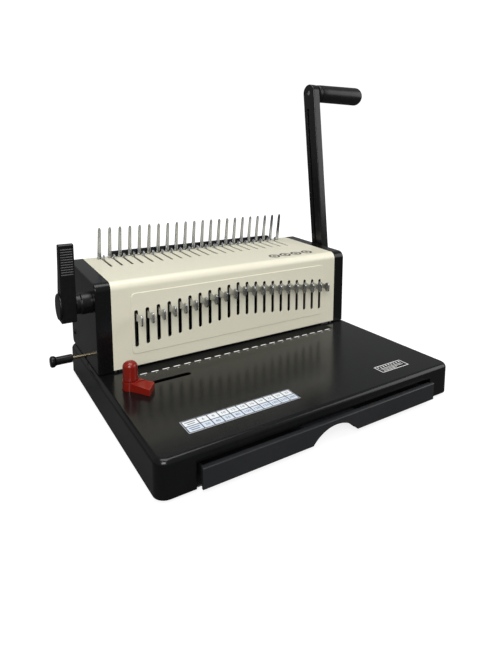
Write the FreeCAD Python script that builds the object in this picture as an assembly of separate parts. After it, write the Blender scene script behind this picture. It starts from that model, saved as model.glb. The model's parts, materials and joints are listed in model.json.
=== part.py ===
import FreeCAD, Part
import math
import os

# Plastic-comb binding machine: a manual punch and comb opener on a flat steel base.
# Build frame: X along the comb (+X to the operator's right), Y towards the back, Z up,
# X = 0 on the mid plane, Y = 0 on the front cover's face, Z = 0 on the table.
# Every node is moved to the middle of the whole machine's footprint when it is written.
V = FreeCAD.Vector

# ---- driving sizes, millimetres ----
# punching pattern
PITCH = 14.2875            # comb pitch, 9/16 inch
HOLES = 21
HOLE_WIDTH = 8.0           # punched hole along X
HOLE_DEPTH = 3.0           # punched hole along Y
PIN_Y = 14.0               # line of the punched holes behind the cover's face
STROKE = 24.0              # travel of the pressure bar
STAGGER = 1.5              # each pin sits this much lower than its inner neighbour

# base
FOOT_HEIGHT = 4.0
FOOT_RADIUS = 8.0
BASE_HEIGHT = 36.8
BASE_MARGIN = 3.7          # base wall beyond the end caps
BASE_REACH = 194.5         # base in front of the cover's face
BASE_BACK = 131.0
BASE_SHEET = 1.5
BASE_CORNER = 12.0
BASE_EDGE = 5.5
BOTTOM_SHEET = 1.2
FOOT_INSET = 19.5

# chip drawer
DRAWER_HALF = 150.0
DRAWER_WALL = 2.0
DRAWER_TOP = 20.0          # height of the tray's walls above the table
FRONT_HALF = 155.0
FRONT_THICK = 8.0
FRONT_TOP = 27.0
FRONT_BOTTOM = 6.5
FRONT_GAP = 2.4
PLATE_THICK = 3.0          # plate on the front panel's face
PLATE_STEP = 1.4           # and how far it stands out past the panel
PULL_HALF = 31.0           # half width of the finger recess
PULL_RISE = 15.0
PULL_DEPTH = 30.0          # the recess reaches this far behind the panel

# housing
SIDE_MARGIN = 25.1         # outer hole to the side frame
FRAME_SHEET = 2.5
CAP_GAP = 1.8              # side frame to cover end
CAP_WIDTH = 18.5
CAP_WALL = 2.0
CAP_LIFT = 1.0             # gap between the end caps and the base
CAP_BACK_BEND = 8.0
THROAT = 3.0               # height of the paper throat
HOUSING_RISE = 107.2       # cover's lower edge to its top, at the front
HOUSING_DEPTH = 130.0
TOP_SLOPE = 0.048          # the top rises towards the back
COVER_SHEET = 1.0
COVER_BEND = 10.0
EMBOSS = 0.8
EMBOSS_MARGIN = 6.0        # embossed field beyond the outer slots
EMBOSS_BOTTOM = 15.2       # embossed field above the cover's lower edge
EMBOSS_TOP = 16.0          # and below its top

# front slots and pull tabs
SLOT_WIDTH = 4.8
SLOT_LENGTH = 46.2
SLOT_DROP = 22.0           # top of the middle slot below the cover's top
TAB_DROP = 8.4             # tab centre below the slot's top
TAB_THICK = 2.0
TAB_HALF = 5.0             # half height where the tab passes the slot
WAIST_HALF = 3.5           # half height of the waist in front of the slot
HEAD_HALF = 6.75
HEAD_FRONT = -22.5
HEAD_BACK = -14.5
TAIL_HALF = 2.5            # half height of the tab's tail
TAIL_DROP = 2.5            # tail below the tab's middle

# comb opener
FINGER_Y = 118.2
FINGER_HEIGHT = 44.1
FINGER_LEAN = 6.7          # forward lean at the tip
FINGER_BASE = 5.2
FINGER_TIP = 3.8
FINGER_THICK = 1.5
FINGER_OFFSET = -2.5       # middle of the row of fingers
COMB_SLOT_FRONT = 72.0
COMB_SLOT_BACK = 119.5
COMB_SLOT_WIDTH = 3.2
COMB_SLOT_SIDE = 3.5       # slot to the finger on its left
RAIL_HALF = 135.0          # stop rail behind the fingers
RAIL_DEPTH = 6.0
RAIL_HEIGHT = 7.5
HOOK_BACK = 113.0          # back of a hook at rest
HOOK_PLATE_REACH = 34.0    # plate in front of the hooks' backs
HOOK_PLATE_SHEET = 1.5
HOOK_PLATE_GAP = 0.6
RACK_INSET = 2.2           # the hook plate's racks run inside the driving gears
HOOK_LENGTH = 8.0
HOOK_RISE = 7.0
LEVER_Y = 20.5
LEVER_GAP = 18.4           # end cap to the lever's inner face
LEVER_WIDTH = 16.5
LEVER_CAP = 2.5            # thickness of the round cap on the lever
LEVER_CAP_RADIUS = 15.5
BOSS_RADIUS = 13.0
LEVER_DROP = 24.5          # opener shaft below the cover's top
OPENER_TEETH = 22
OPENER_MODULE = 1.5
OPENER_ANGLE = 110.0
OPENER_SHAFT_RADIUS = 4.0

# punching drive
SHAFT_Y = 60.0
SHAFT_RISE = 48.2          # main shaft above the cover's lower edge
SHAFT_RADIUS = 7.0
PINION_TEETH = 20
HANDLE_ANGLE = 90.0
ARM_LENGTH = 310.5
ARM_WIDTH = 27.5
ARM_THICK = 13.0
ARM_TILT = 6.75            # degrees, leaning back at rest
ARM_GAP = 2.0              # end cap to arm
GRIP_LENGTH = 98.0
GRIP_RADIUS = 14.0
GRIP_END_RADIUS = 15.0
GRIP_GAP = 3.0
GRIP_BOLT_RADIUS = 4.0

# margin control
ROD_Y = 58.0
ROD_RISE = 6.2             # rod axis above the base top
ROD_RADIUS = 2.0
KNOB_RADIUS = 5.2
KNOB_FLARE = 7.0
KNOB_LENGTH = 26.5
KNOB_BORE = 18.0           # depth of the rod in the knob
KNOB_GAP = 16.4            # end cap to knob

# edge guide
GUIDE_INSET = 26.775        # post to the base's left edge
GUIDE_Y = -48.0
GUIDE_SLOT_INSET = 16.975
GUIDE_SLOT_LENGTH = 83.5
GUIDE_SLOT_WIDTH = 7.5
GUIDE_POST_RADIUS = 8.25
GUIDE_POST_TOP = 32.2
GUIDE_LEVER_TOP = 10.2
GUIDE_STUD_RADIUS = 3.4

# printed table of comb sizes
TABLE_INSET = 43.275        # table to the base's left edge
TABLE_FRONT = -166.5
TABLE_WIDTH = 131.0
TABLE_DEPTH = 23.0
TABLE_THICK = 0.15

# frame, die and guide
FRAME_FRONT = 3.0          # side frame behind the cover's face
FRAME_BACK_GAP = 6.0       # and in front of the housing's back
DIE_REACH = 10.0           # die in front of the punched holes
DIE_BEHIND = 12.0
DIE_THICK = 6.0
GUIDE_RISE = 20.4          # punch guide's top above the cover's lower edge
POST_RADIUS = 4.0
BUSH_WALL = 2.0
BUSH_FLANGE = 3.5
BAR_THICK = 6.0
RACK_BODY = 4.0            # metal behind a rack's roots
PINION_HALF = 3.5
SPRING_WIRE = 0.75
SPRING_TURNS = 4
SPRING_RADIUS = 6.0

# fits
RUNNING = 0.05             # radial gap of a shaft in its bush
CLEAR = 0.3                # gap between pieces that move past each other
PIN_CLEAR = 0.1            # punch in its guide

# ---- derived places ----
HALF_SPAN = (HOLES - 1) * PITCH / 2
FRAME_IN = HALF_SPAN + SIDE_MARGIN
FRAME_OUT = FRAME_IN + FRAME_SHEET
COVER_HALF = FRAME_OUT + CAP_GAP
HOUSING_HALF = COVER_HALF + CAP_WIDTH
BASE_HALF = HOUSING_HALF + BASE_MARGIN
GUIDE_X = -BASE_HALF + GUIDE_INSET
GUIDE_SLOT_START = -BASE_HALF + GUIDE_SLOT_INSET
GUIDE_SLOT_END = GUIDE_SLOT_START + GUIDE_SLOT_LENGTH
BASE_TOP = FOOT_HEIGHT + BASE_HEIGHT
COVER_Z = BASE_TOP + THROAT
TOP_Z = COVER_Z + HOUSING_RISE
LEVER_Z = TOP_Z - LEVER_DROP
SHAFT_Z = COVER_Z + SHAFT_RISE
OPENER_RADIUS = OPENER_TEETH * OPENER_MODULE / 2
IDLER_Y = LEVER_Y + 2 * OPENER_RADIUS
HOOK_TRAVEL = OPENER_RADIUS * math.radians(OPENER_ANGLE)
PINION_RADIUS = STROKE / math.radians(HANDLE_ANGLE)
PINION_MODULE = 2 * PINION_RADIUS / PINION_TEETH
SLOT_TOP_Z = TOP_Z - SLOT_DROP
GUIDE_TOP = COVER_Z + GUIDE_RISE
DIE_FRONT, DIE_BACK = PIN_Y - DIE_REACH, PIN_Y + DIE_BEHIND
BEAM_HALF = FRAME_IN - 3.0
POST_X = HALF_SPAN + 12.1
BAR_FRONT = PIN_Y + HOLE_DEPTH / 2 + 1.5
BAR_BACK = BAR_FRONT + BAR_THICK
BAR_Y = (BAR_FRONT + BAR_BACK) / 2
RACK_X = HALF_SPAN + 7.1
GEAR_X = FRAME_IN - 3.4
ARM_X = HOUSING_HALF + ARM_GAP
ARM_END = ARM_X + ARM_THICK
GRIP_X = ARM_END + GRIP_GAP
LEVER_X = -HOUSING_HALF - LEVER_GAP
ROD_Z = BASE_TOP + ROD_RISE
KNOB_X = -HOUSING_HALF - KNOB_GAP
FINGER_X = FINGER_OFFSET - HALF_SPAN - PITCH / 2

LEFT_END = min(KNOB_X - KNOB_LENGTH, LEVER_X - LEVER_WIDTH - LEVER_CAP)
RIGHT_END = GRIP_X + GRIP_LENGTH
FRONT_END = -BASE_REACH - FRONT_THICK
SHIFT = V(-(LEFT_END + RIGHT_END) / 2, -(FRONT_END + BASE_BACK) / 2, 0)


def top_at(y):
    """Height of the cover's top face at a depth."""
    return TOP_Z + TOP_SLOPE * y


def pin_x(k):
    return -HALF_SPAN + k * PITCH


def stagger(k):
    """How far a pin, its tab and its slot sit below the middle ones."""
    return abs(k - (HOLES - 1) / 2) * STAGGER


def tab_z(k):
    return SLOT_TOP_Z - TAB_DROP - stagger(k)


def tail_z(k):
    return tab_z(k) - TAIL_DROP


# ---- shape helpers ----
def box(x0, x1, y0, y1, z0, z1):
    return Part.makeBox(x1 - x0, y1 - y0, z1 - z0, V(x0, y0, z0))


def rod_x(x0, x1, y, z, radius):
    return Part.makeCylinder(radius, x1 - x0, V(x0, y, z), V(1, 0, 0))


def rod_y(y0, y1, x, z, radius):
    return Part.makeCylinder(radius, y1 - y0, V(x, y0, z), V(0, 1, 0))


def rod_z(z0, z1, x, y, radius):
    return Part.makeCylinder(radius, z1 - z0, V(x, y, z0), V(0, 0, 1))


def face(points):
    return Part.Face(Part.makePolygon(list(points) + [points[0]]))


def plate_yz(points, x0, x1):
    """Extrude a (y, z) outline along X."""
    return face([V(x0, y, z) for y, z in points]).extrude(V(x1 - x0, 0, 0))


def plate_xy(points, z0, z1):
    return face([V(x, y, z0) for x, y in points]).extrude(V(0, 0, z1 - z0))


def plate_xz(points, y0, y1):
    return face([V(x, y0, z) for x, z in points]).extrude(V(0, y1 - y0, 0))


def turned_x(points, y, z):
    """Turn an (x, radius) outline about an axis along X."""
    outline = face([V(x, y + r, z) for x, r in points])
    return outline.revolve(V(0, y, z), V(1, 0, 0), 360)


def cut(shape, tools):
    return shape.cut(Part.Compound(tools)) if tools else shape


def fuse(shapes):
    return shapes[0].multiFuse(shapes[1:]).removeSplitter()


def group(shapes):
    return Part.Compound(shapes)


def edges_where(shape, test):
    return [e for e in shape.Edges if test(e.BoundBox)]


def along_z(length):
    return lambda b: b.ZLength > length and b.XLength < 0.01 and b.YLength < 0.01


def fillet(shape, radius, edges):
    return shape.makeFillet(radius, edges)


def slot_xz(x, z_low, z_high, width, y0, y1):
    """Upright slot with round ends."""
    r = width / 2
    return fuse([box(x - r, x + r, y0, y1, z_low + r, z_high - r),
                 rod_y(y0, y1, x, z_low + r, r), rod_y(y0, y1, x, z_high - r, r)])


def gear_outline(teeth, module, turn):
    """Points of a spur gear's edge with slack straight-sided teeth."""
    radius = teeth * module / 2
    tip, root = radius + 0.85 * module, radius - 1.15 * module
    step = 2 * math.pi / teeth
    points = []
    for k in range(teeth):
        for share, r in ((-0.30, root), (-0.10, tip), (0.10, tip), (0.30, root)):
            angle = turn + (k + share) * step
            points.append((r * math.cos(angle), r * math.sin(angle)))
    return points


def gear(teeth, module, y, z, x0, x1, bore, turn=0.0):
    """Spur gear on an axis along X; turn is where one tooth's middle points."""
    outline = [(y + a, z + b) for a, b in gear_outline(teeth, module, turn)]
    return plate_yz(outline, x0, x1).cut(rod_x(x0 - 1, x1 + 1, y, z, bore))


def rack_outline(start, end, pitch_line, module, middle, side):
    """Rack edge as (along, across) points; a gap's middle is at middle."""
    pitch = math.pi * module
    tip, root = pitch_line + side * 0.85 * module, pitch_line - side * 1.15 * module
    first = math.ceil((start - middle) / pitch + 0.2)
    last = math.floor((end - middle) / pitch - 0.2)
    points = [(start, root)]
    for k in range(first, last):
        centre = middle + (k + 0.5) * pitch
        for share, level in ((-0.30, root), (-0.12, tip), (0.12, tip), (0.30, root)):
            points.append((centre + share * pitch, level))
    return points + [(end, root)]


# ---- base ----
def rounded_pan(inset, top_z, bottom_z, corner, edge):
    """Block with rounded upright corners and a rounded top edge."""
    half = BASE_HALF - inset
    block = box(-half, half, -BASE_REACH + inset, BASE_BACK - inset, bottom_z, top_z)
    block = fillet(block, corner, edges_where(block, along_z(1)))
    return fillet(block, edge, edges_where(block, lambda b: b.ZMin > top_z - 0.01))


def base_nodes():
    outer = rounded_pan(0, BASE_TOP, FOOT_HEIGHT, BASE_CORNER, BASE_EDGE)
    inner = rounded_pan(BASE_SHEET, BASE_TOP - BASE_SHEET, FOOT_HEIGHT - 5,
                        BASE_CORNER - BASE_SHEET, BASE_EDGE - BASE_SHEET)
    drawer_mouth = box(-FRONT_HALF - FRONT_GAP, FRONT_HALF + FRONT_GAP, -BASE_REACH - 1,
                       -BASE_REACH + BASE_EDGE + 3, FOOT_HEIGHT - 1, FRONT_TOP + FRONT_GAP)
    die_seat = box(-BEAM_HALF, BEAM_HALF, DIE_FRONT, DIE_BACK, BASE_TOP - 5, BASE_TOP + 1)
    r = GUIDE_SLOT_WIDTH / 2
    first, last = GUIDE_SLOT_START + r, GUIDE_SLOT_END - r
    low, high = BASE_TOP - 5, BASE_TOP + 1
    guide_slot = fuse([box(first, last, GUIDE_Y - r, GUIDE_Y + r, low, high),
                       rod_z(low, high, first, GUIDE_Y, r), rod_z(low, high, last, GUIDE_Y, r)])
    pan = cut(outer, [inner, drawer_mouth, die_seat, guide_slot])

    inset = BASE_SHEET + CLEAR / 3
    plate = box(-BASE_HALF + inset, BASE_HALF - inset, -BASE_REACH + inset, BASE_BACK - inset,
                FOOT_HEIGHT, FOOT_HEIGHT + BOTTOM_SHEET)
    plate = fillet(plate, BASE_CORNER - inset, edges_where(plate, along_z(1)))
    notch = PULL_HALF + 5
    plate = plate.cut(box(-notch, notch, -BASE_REACH, -BASE_REACH + PULL_DEPTH + DRAWER_WALL, 0, 10))

    feet = []
    for x in (-BASE_HALF + FOOT_INSET, BASE_HALF - FOOT_INSET):
        for y in (-BASE_REACH + FOOT_INSET, BASE_BACK - FOOT_INSET):
            cone = Part.makeCone(FOOT_RADIUS - 1, FOOT_RADIUS, FOOT_HEIGHT, V(x, y, 0))
            feet.append(cone)
    return {"base_pan": pan, "bottom_plate": plate, "rubber_feet": group(feet)}


def finger_recess():
    """Shallow arch cut up into the drawer front from below."""
    radius = (PULL_HALF ** 2 + PULL_RISE ** 2) / (2 * PULL_RISE)
    centre_z = FRONT_BOTTOM + PULL_RISE - radius
    return rod_y(FRONT_END - 1, -BASE_REACH + PULL_DEPTH, 0, centre_z, radius)


def drawer_node():
    floor_z = FOOT_HEIGHT + BOTTOM_SHEET + CLEAR
    back = DIE_BACK + 6
    tray = box(-DRAWER_HALF, DRAWER_HALF, -BASE_REACH - 0.5, back, floor_z, DRAWER_TOP)
    hollow = box(-DRAWER_HALF + DRAWER_WALL, DRAWER_HALF - DRAWER_WALL, -BASE_REACH + DRAWER_WALL,
                 back - DRAWER_WALL, floor_z + DRAWER_WALL, DRAWER_TOP + 1)
    pocket = box(-PULL_HALF - 4, PULL_HALF + 4, -BASE_REACH - 0.5, -BASE_REACH + PULL_DEPTH + DRAWER_WALL,
                 floor_z, FRONT_BOTTOM + PULL_RISE + DRAWER_WALL)
    front = box(-FRONT_HALF, FRONT_HALF, FRONT_END, FRONT_END + PLATE_THICK, FRONT_BOTTOM, FRONT_TOP)
    front = fillet(front, 1.0, edges_where(front, lambda b: b.YMax < FRONT_END + 0.01))
    half = FRONT_HALF - PLATE_STEP
    behind = box(-half, half, FRONT_END + PLATE_THICK - 0.5, -BASE_REACH - 0.5, FRONT_BOTTOM,
                 FRONT_TOP - PLATE_STEP)
    return {"chip_drawer": fuse([tray.cut(hollow), pocket, front, behind]).cut(finger_recess())}


# ---- frame, die and punches ----
def frame_nodes():
    nodes = {}
    for side, name in ((-1, "left_side_frame"), (1, "right_side_frame")):
        x0, x1 = sorted((side * FRAME_IN, side * FRAME_OUT))
        back = HOUSING_DEPTH - FRAME_BACK_GAP
        outline = [(FRAME_FRONT, BASE_TOP), (back, BASE_TOP), (back, top_at(back) - 6), (12, top_at(0) - 8),
                   (FRAME_FRONT, top_at(0) - 14)]
        plate = plate_yz(outline, x0, x1)
        in0, in1 = sorted((side * (FRAME_IN - 12), side * FRAME_IN))
        foot = box(in0, in1, DIE_BACK + 42, back, BASE_TOP, BASE_TOP + FRAME_SHEET)
        holes = [rod_x(x0 - 1, x1 + 1, LEVER_Y, LEVER_Z, OPENER_SHAFT_RADIUS + BUSH_WALL),
                 rod_x(x0 - 1, x1 + 1, IDLER_Y, LEVER_Z, OPENER_SHAFT_RADIUS + BUSH_WALL),
                 rod_x(x0 - 1, x1 + 1, SHAFT_Y, SHAFT_Z, SHAFT_RADIUS + BUSH_WALL),
                 rod_x(x0 - 1, x1 + 1, ROD_Y, ROD_Z, ROD_RADIUS + RUNNING)]
        nodes[name] = fuse([plate, foot]).cut(group(holes))
    bushes = []
    for side in (-1, 1):
        x0, x1 = sorted((side * (FRAME_IN - 1.5), side * FRAME_OUT))
        f0, f1 = sorted((side * (FRAME_IN - 1.5), side * FRAME_IN))
        for y, z, r in ((LEVER_Y, LEVER_Z, OPENER_SHAFT_RADIUS), (IDLER_Y, LEVER_Z, OPENER_SHAFT_RADIUS),
                        (SHAFT_Y, SHAFT_Z, SHAFT_RADIUS)):
            ring = fuse([rod_x(x0, x1, y, z, r + BUSH_WALL), rod_x(f0, f1, y, z, r + BUSH_FLANGE)])
            bushes.append(ring.cut(rod_x(x0 - 1, x1 + 1, y, z, r + RUNNING)))
    nodes["shaft_bushes"] = group(bushes)
    return nodes


def punch_holes(z0, z1, gap):
    a, b = HOLE_WIDTH / 2 + gap, HOLE_DEPTH / 2 + gap
    return [box(pin_x(k) - a, pin_x(k) + a, PIN_Y - b, PIN_Y + b, z0, z1) for k in range(HOLES)]


def die_nodes():
    die = box(-BEAM_HALF + CLEAR / 3, BEAM_HALF - CLEAR / 3, DIE_FRONT + CLEAR / 3, DIE_BACK - CLEAR / 3,
              BASE_TOP - DIE_THICK, BASE_TOP)
    die = cut(die, punch_holes(BASE_TOP - DIE_THICK - 1, BASE_TOP + 1, PIN_CLEAR))
    beam = box(-BEAM_HALF, BEAM_HALF, DIE_FRONT, DIE_BACK, COVER_Z + 0.2, GUIDE_TOP)
    legs = []
    for side in (-1, 1):
        x0, x1 = sorted((side * (HALF_SPAN + 9), side * BEAM_HALF))
        legs.append(box(x0, x1, DIE_FRONT, DIE_BACK, BASE_TOP, COVER_Z + 0.2))
    beam = cut(fuse([beam] + legs), punch_holes(BASE_TOP - 1, GUIDE_TOP + 1, PIN_CLEAR))
    posts = [rod_z(GUIDE_TOP, bar_end_top() + 10, side * POST_X, BAR_Y, POST_RADIUS) for side in (-1, 1)]
    return {"die_plate": die, "punch_guide": beam, "guide_posts": group(posts)}


def bar_end_top():
    return tail_z(0) + TAIL_HALF + 3


def punch_nodes():
    pin_drop = tail_z(0) - (COVER_Z + 1.2)
    a, b = HOLE_WIDTH / 2, HOLE_DEPTH / 2
    window, half_tab = TAIL_HALF + 0.2, TAB_THICK / 2 + 0.2
    pins, bar_windows = [], []
    for k in range(HOLES):
        x, z = pin_x(k), tail_z(k)
        pin = box(x - a, x + a, PIN_Y - b, PIN_Y + b, z - pin_drop, z + TAIL_HALF + 0.5)
        left, right, floor, roof = x - half_tab, x + half_tab, z - window, z + window
        pins.append(pin.cut(box(left, right, PIN_Y - b - 1, PIN_Y + b + 1, floor, roof)))
        bar_windows.append(box(left, right, BAR_FRONT - 1, BAR_BACK + 1, floor, roof))

    low, end_top = tail_z(0) - TAIL_HALF - 4, bar_end_top()
    middle_top = tail_z((HOLES - 1) // 2) + TAIL_HALF + 1
    edge = HALF_SPAN + 3
    bar = plate_xz([(-POST_X, low), (POST_X, low), (POST_X, end_top), (edge, end_top), (0, middle_top),
                    (-edge, end_top), (-POST_X, end_top)], BAR_FRONT, BAR_BACK)
    pieces, holes = [bar], list(bar_windows)
    rack_line = SHAFT_Y - PINION_RADIUS
    start, end = SHAFT_Z - 10, SHAFT_Z + STROKE + 9
    teeth = rack_outline(start, end, rack_line, PINION_MODULE, SHAFT_Z, 1)
    back = rack_line - 1.15 * PINION_MODULE - RACK_BODY
    for side in (-1, 1):
        x0, x1 = side * RACK_X - 4, side * RACK_X + 4
        profile = [(y, z) for z, y in teeth] + [(back, end), (back, start)]
        pieces.append(plate_yz(profile, x0, x1))
        pieces.append(box(x0, x1, BAR_BACK - 1, back + 0.5, low, end_top))
        pieces.append(rod_z(low, end_top, side * POST_X, BAR_Y, 7))
        holes.append(rod_z(low - 1, end_top + 1, side * POST_X, BAR_Y, POST_RADIUS + RUNNING))
    return {"punch_pins": group(pins), "pressure_bar": cut(fuse(pieces), holes)}


def spring_node():
    """Compression springs round the guide posts, under the pressure bar's bosses."""
    wire = SPRING_WIRE
    low, high = GUIDE_TOP + 0.1, tail_z(0) - TAIL_HALF - 4.1
    height = high - low - 2 * wire
    springs = []
    for side in (-1, 1):
        helix = Part.makeHelix(height / SPRING_TURNS, height, SPRING_RADIUS)
        ring = Part.Wire(Part.Circle(V(SPRING_RADIUS, 0, 0), V(0, 1, 0), wire).toShape())
        coil = Part.Wire(helix.Edges).makePipeShell([ring], True, True)
        coil.translate(V(side * POST_X, BAR_Y, low + wire))
        springs.append(coil)
    return {"return_springs": group(springs)}


def tab_pieces(z, x0, x1):
    """Pull tab: tail, slot part, waist and a rounded head in front of the cover."""
    tail = box(x0, x1, 7, BAR_FRONT + 4.5, z - TAIL_DROP - TAIL_HALF, z - TAIL_DROP + TAIL_HALF)
    neck = HEAD_BACK - 1
    body = plate_yz([(8, z - TAB_HALF), (8, z + TAB_HALF), (-3, z + TAB_HALF), (-8, z + WAIST_HALF),
                     (neck, z + WAIST_HALF), (neck, z - WAIST_HALF), (-8, z - WAIST_HALF), (-3, z - TAB_HALF)],
                    x0, x1)
    head = box(x0, x1, HEAD_FRONT, HEAD_BACK, z - HEAD_HALF, z + HEAD_HALF)
    long_edges = edges_where(head, lambda b: b.XLength > 1 and b.YLength < 0.01)
    head = fillet(head, (HEAD_BACK - HEAD_FRONT) * 0.45, long_edges)
    return [tail, body, head]


def tab_nodes():
    nodes = {}
    for k in range(HOLES):
        x = pin_x(k)
        nodes["pull_tab_%02d" % (k + 1)] = fuse(tab_pieces(tab_z(k), x - TAB_THICK / 2, x + TAB_THICK / 2))
    return nodes


# ---- drive shaft, handle and grip ----
def drive_nodes():
    shaft = fuse([rod_x(-FRAME_OUT - 1, ARM_END - 1, SHAFT_Y, SHAFT_Z, SHAFT_RADIUS)])
    shaft = shaft.cut(rod_x(ARM_END - 14, ARM_END, SHAFT_Y, SHAFT_Z, 3.5))
    pinions = [gear(PINION_TEETH, PINION_MODULE, SHAFT_Y, SHAFT_Z, side * RACK_X - PINION_HALF,
                    side * RACK_X + PINION_HALF, SHAFT_RADIUS, math.pi) for side in (-1, 1)]
    return {"main_shaft": shaft, "punch_pinions": group(pinions)}


def tilt_arm(shape):
    """Lean an upright arm back about the main shaft."""
    shape.rotate(V(0, SHAFT_Y, SHAFT_Z), V(1, 0, 0), -ARM_TILT)
    return shape


def arm_top():
    angle = math.radians(ARM_TILT)
    return SHAFT_Y + ARM_LENGTH * math.sin(angle), SHAFT_Z + ARM_LENGTH * math.cos(angle)


def handle_nodes():
    half, top = ARM_WIDTH / 2, SHAFT_Z + ARM_LENGTH
    arm = fuse([box(ARM_X, ARM_END, SHAFT_Y - half, SHAFT_Y + half, SHAFT_Z, top),
                rod_x(ARM_X, ARM_END, SHAFT_Y, SHAFT_Z, half), rod_x(ARM_X, ARM_END, SHAFT_Y, top, half)])
    arm = fillet(arm, 1.8, edges_where(arm, lambda b: b.XLength < 0.01))
    hub = rod_x(HOUSING_HALF + CLEAR, ARM_X + 1, SHAFT_Y, SHAFT_Z, half - 3)
    groove_y = SHAFT_Y + 3.2
    low, high = SHAFT_Z + 30, top - 28
    groove = fuse([box(ARM_X - 1, ARM_X + 3, groove_y - 1.9, groove_y + 1.9, low, high),
                   rod_x(ARM_X - 1, ARM_X + 3, groove_y, low, 1.9),
                   rod_x(ARM_X - 1, ARM_X + 3, groove_y, high, 3.0)])
    arm = cut(fuse([arm, hub]), [groove, rod_x(HOUSING_HALF, ARM_END - 1, SHAFT_Y, SHAFT_Z, SHAFT_RADIUS),
                                 rod_x(ARM_END - 2, ARM_END + 1, SHAFT_Y, SHAFT_Z, 4.2),
                                 rod_x(ARM_X - 1, ARM_END + 1, SHAFT_Y, top, GRIP_BOLT_RADIUS)])
    arm = tilt_arm(arm)

    y, z = arm_top()
    hub_bolt = fuse([rod_x(ARM_END - 13, ARM_END, SHAFT_Y, SHAFT_Z, 3.5),
                     rod_x(ARM_END, ARM_END + 5, SHAFT_Y, SHAFT_Z, 8)])
    hub_bolt = hub_bolt.cut(rod_x(ARM_END + 2, ARM_END + 6, SHAFT_Y, SHAFT_Z, 3))
    grip_bolt = fuse([rod_x(ARM_X + 1, GRIP_X + GRIP_LENGTH - 22, y, z, GRIP_BOLT_RADIUS),
                      rod_x(ARM_END, GRIP_X - CLEAR, y, z, 7)])

    tip = GRIP_X + GRIP_LENGTH
    dome = [(tip - 12 * (1 - math.sin(t)), GRIP_END_RADIUS * math.cos(t))
            for t in (math.pi / 2 * n / 8 for n in range(9))]
    collar = [(0, 0), (0, GRIP_RADIUS - 2), (1.2, GRIP_RADIUS - 0.6), (5, GRIP_RADIUS - 0.6),
              (6, GRIP_RADIUS - 1.4), (7.5, GRIP_RADIUS)]
    outline = [(GRIP_X + a, r) for a, r in collar] + dome[:-1] + [(tip, 0)]
    grip = turned_x(outline, y, z)
    grip = grip.cut(rod_x(GRIP_X - 1, GRIP_X + GRIP_LENGTH - 21, y, z, GRIP_BOLT_RADIUS + RUNNING))
    return {"handle_arm": arm, "handle_bolts": group([hub_bolt, grip_bolt]), "hand_grip": grip}


# ---- covers ----
def cover_profile(inset, bottom_z, back):
    """Outline of the cover in side view, its front-top corner cut square."""
    return [(inset, bottom_z), (back, bottom_z), (back, top_at(back) - inset), (inset, top_at(0) - inset)]


def front_top_edges(shape, x_length):
    return edges_where(shape, lambda b: b.XLength > x_length and b.YMax < 3 and b.ZMin > TOP_Z - 4)


def cover_node():
    back = HOUSING_DEPTH - 1
    outer = plate_yz(cover_profile(0, COVER_Z, back), -COVER_HALF, COVER_HALF)
    outer = fillet(outer, COVER_BEND, front_top_edges(outer, 10))
    inner = plate_yz(cover_profile(COVER_SHEET, COVER_Z - 1, back + 1), -COVER_HALF - 1, COVER_HALF + 1)
    inner = fillet(inner, COVER_BEND - COVER_SHEET, front_top_edges(inner, 10))
    lip = box(-COVER_HALF, COVER_HALF, back - COVER_SHEET, back, top_at(back) - 9, top_at(back) - 1)
    sheet = fuse([outer.cut(inner), lip])

    half = HALF_SPAN + EMBOSS_MARGIN
    low, high = COVER_Z + EMBOSS_BOTTOM, TOP_Z - EMBOSS_TOP
    pad = box(-half, half, -EMBOSS, COVER_SHEET / 2, low, high)
    pad = fillet(pad, 6, edges_where(pad, lambda b: b.YLength > 1 and b.XLength < 0.01 and b.ZLength < 0.01))
    pad = fillet(pad, 0.5, edges_where(pad, lambda b: b.YMax < -EMBOSS + 0.01))
    relief = box(-half + 1.5, half - 1.5, COVER_SHEET - EMBOSS, COVER_SHEET + 1, low + 1.5, high - 1.5)
    sheet = fuse([sheet, pad]).cut(relief)

    cuts = []
    for k in range(HOLES):
        x, high = pin_x(k), SLOT_TOP_Z - stagger(k)
        cuts.append(slot_xz(x, high - SLOT_LENGTH, high, SLOT_WIDTH, -3, 3))
        cuts.append(comb_slot(k))
    return {"front_cover": cut(sheet, cuts)}


def comb_slot_x(k):
    return FINGER_X + k * PITCH + COMB_SLOT_SIDE


def comb_slot(k):
    """Slot in the top with a short leg beside its finger."""
    x, r = comb_slot_x(k), COMB_SLOT_WIDTH / 2
    low, high = TOP_Z - 3, top_at(HOUSING_DEPTH) + 3
    leg = box(x - 3.6, x, COMB_SLOT_BACK - 3.0, COMB_SLOT_BACK, low, high)
    return fuse([box(x - r, x + r, COMB_SLOT_FRONT + r, COMB_SLOT_BACK, low, high),
                 rod_z(low, high, x, COMB_SLOT_FRONT + r, r), leg])


def cap_block(x0, x1, inset):
    depth = HOUSING_DEPTH - inset
    low = BASE_TOP + CAP_LIFT + inset
    block = plate_yz([(inset, low), (depth, low), (depth, top_at(depth) - inset),
                      (inset, top_at(0) - inset)], x0, x1)
    block = fillet(block, COVER_BEND - inset, front_top_edges(block, 5))
    low_back = edges_where(block, lambda b: b.XLength > 5 and b.YMin > depth - 1 and b.ZMax < low + 1)
    return fillet(block, CAP_BACK_BEND - inset, low_back)


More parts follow.
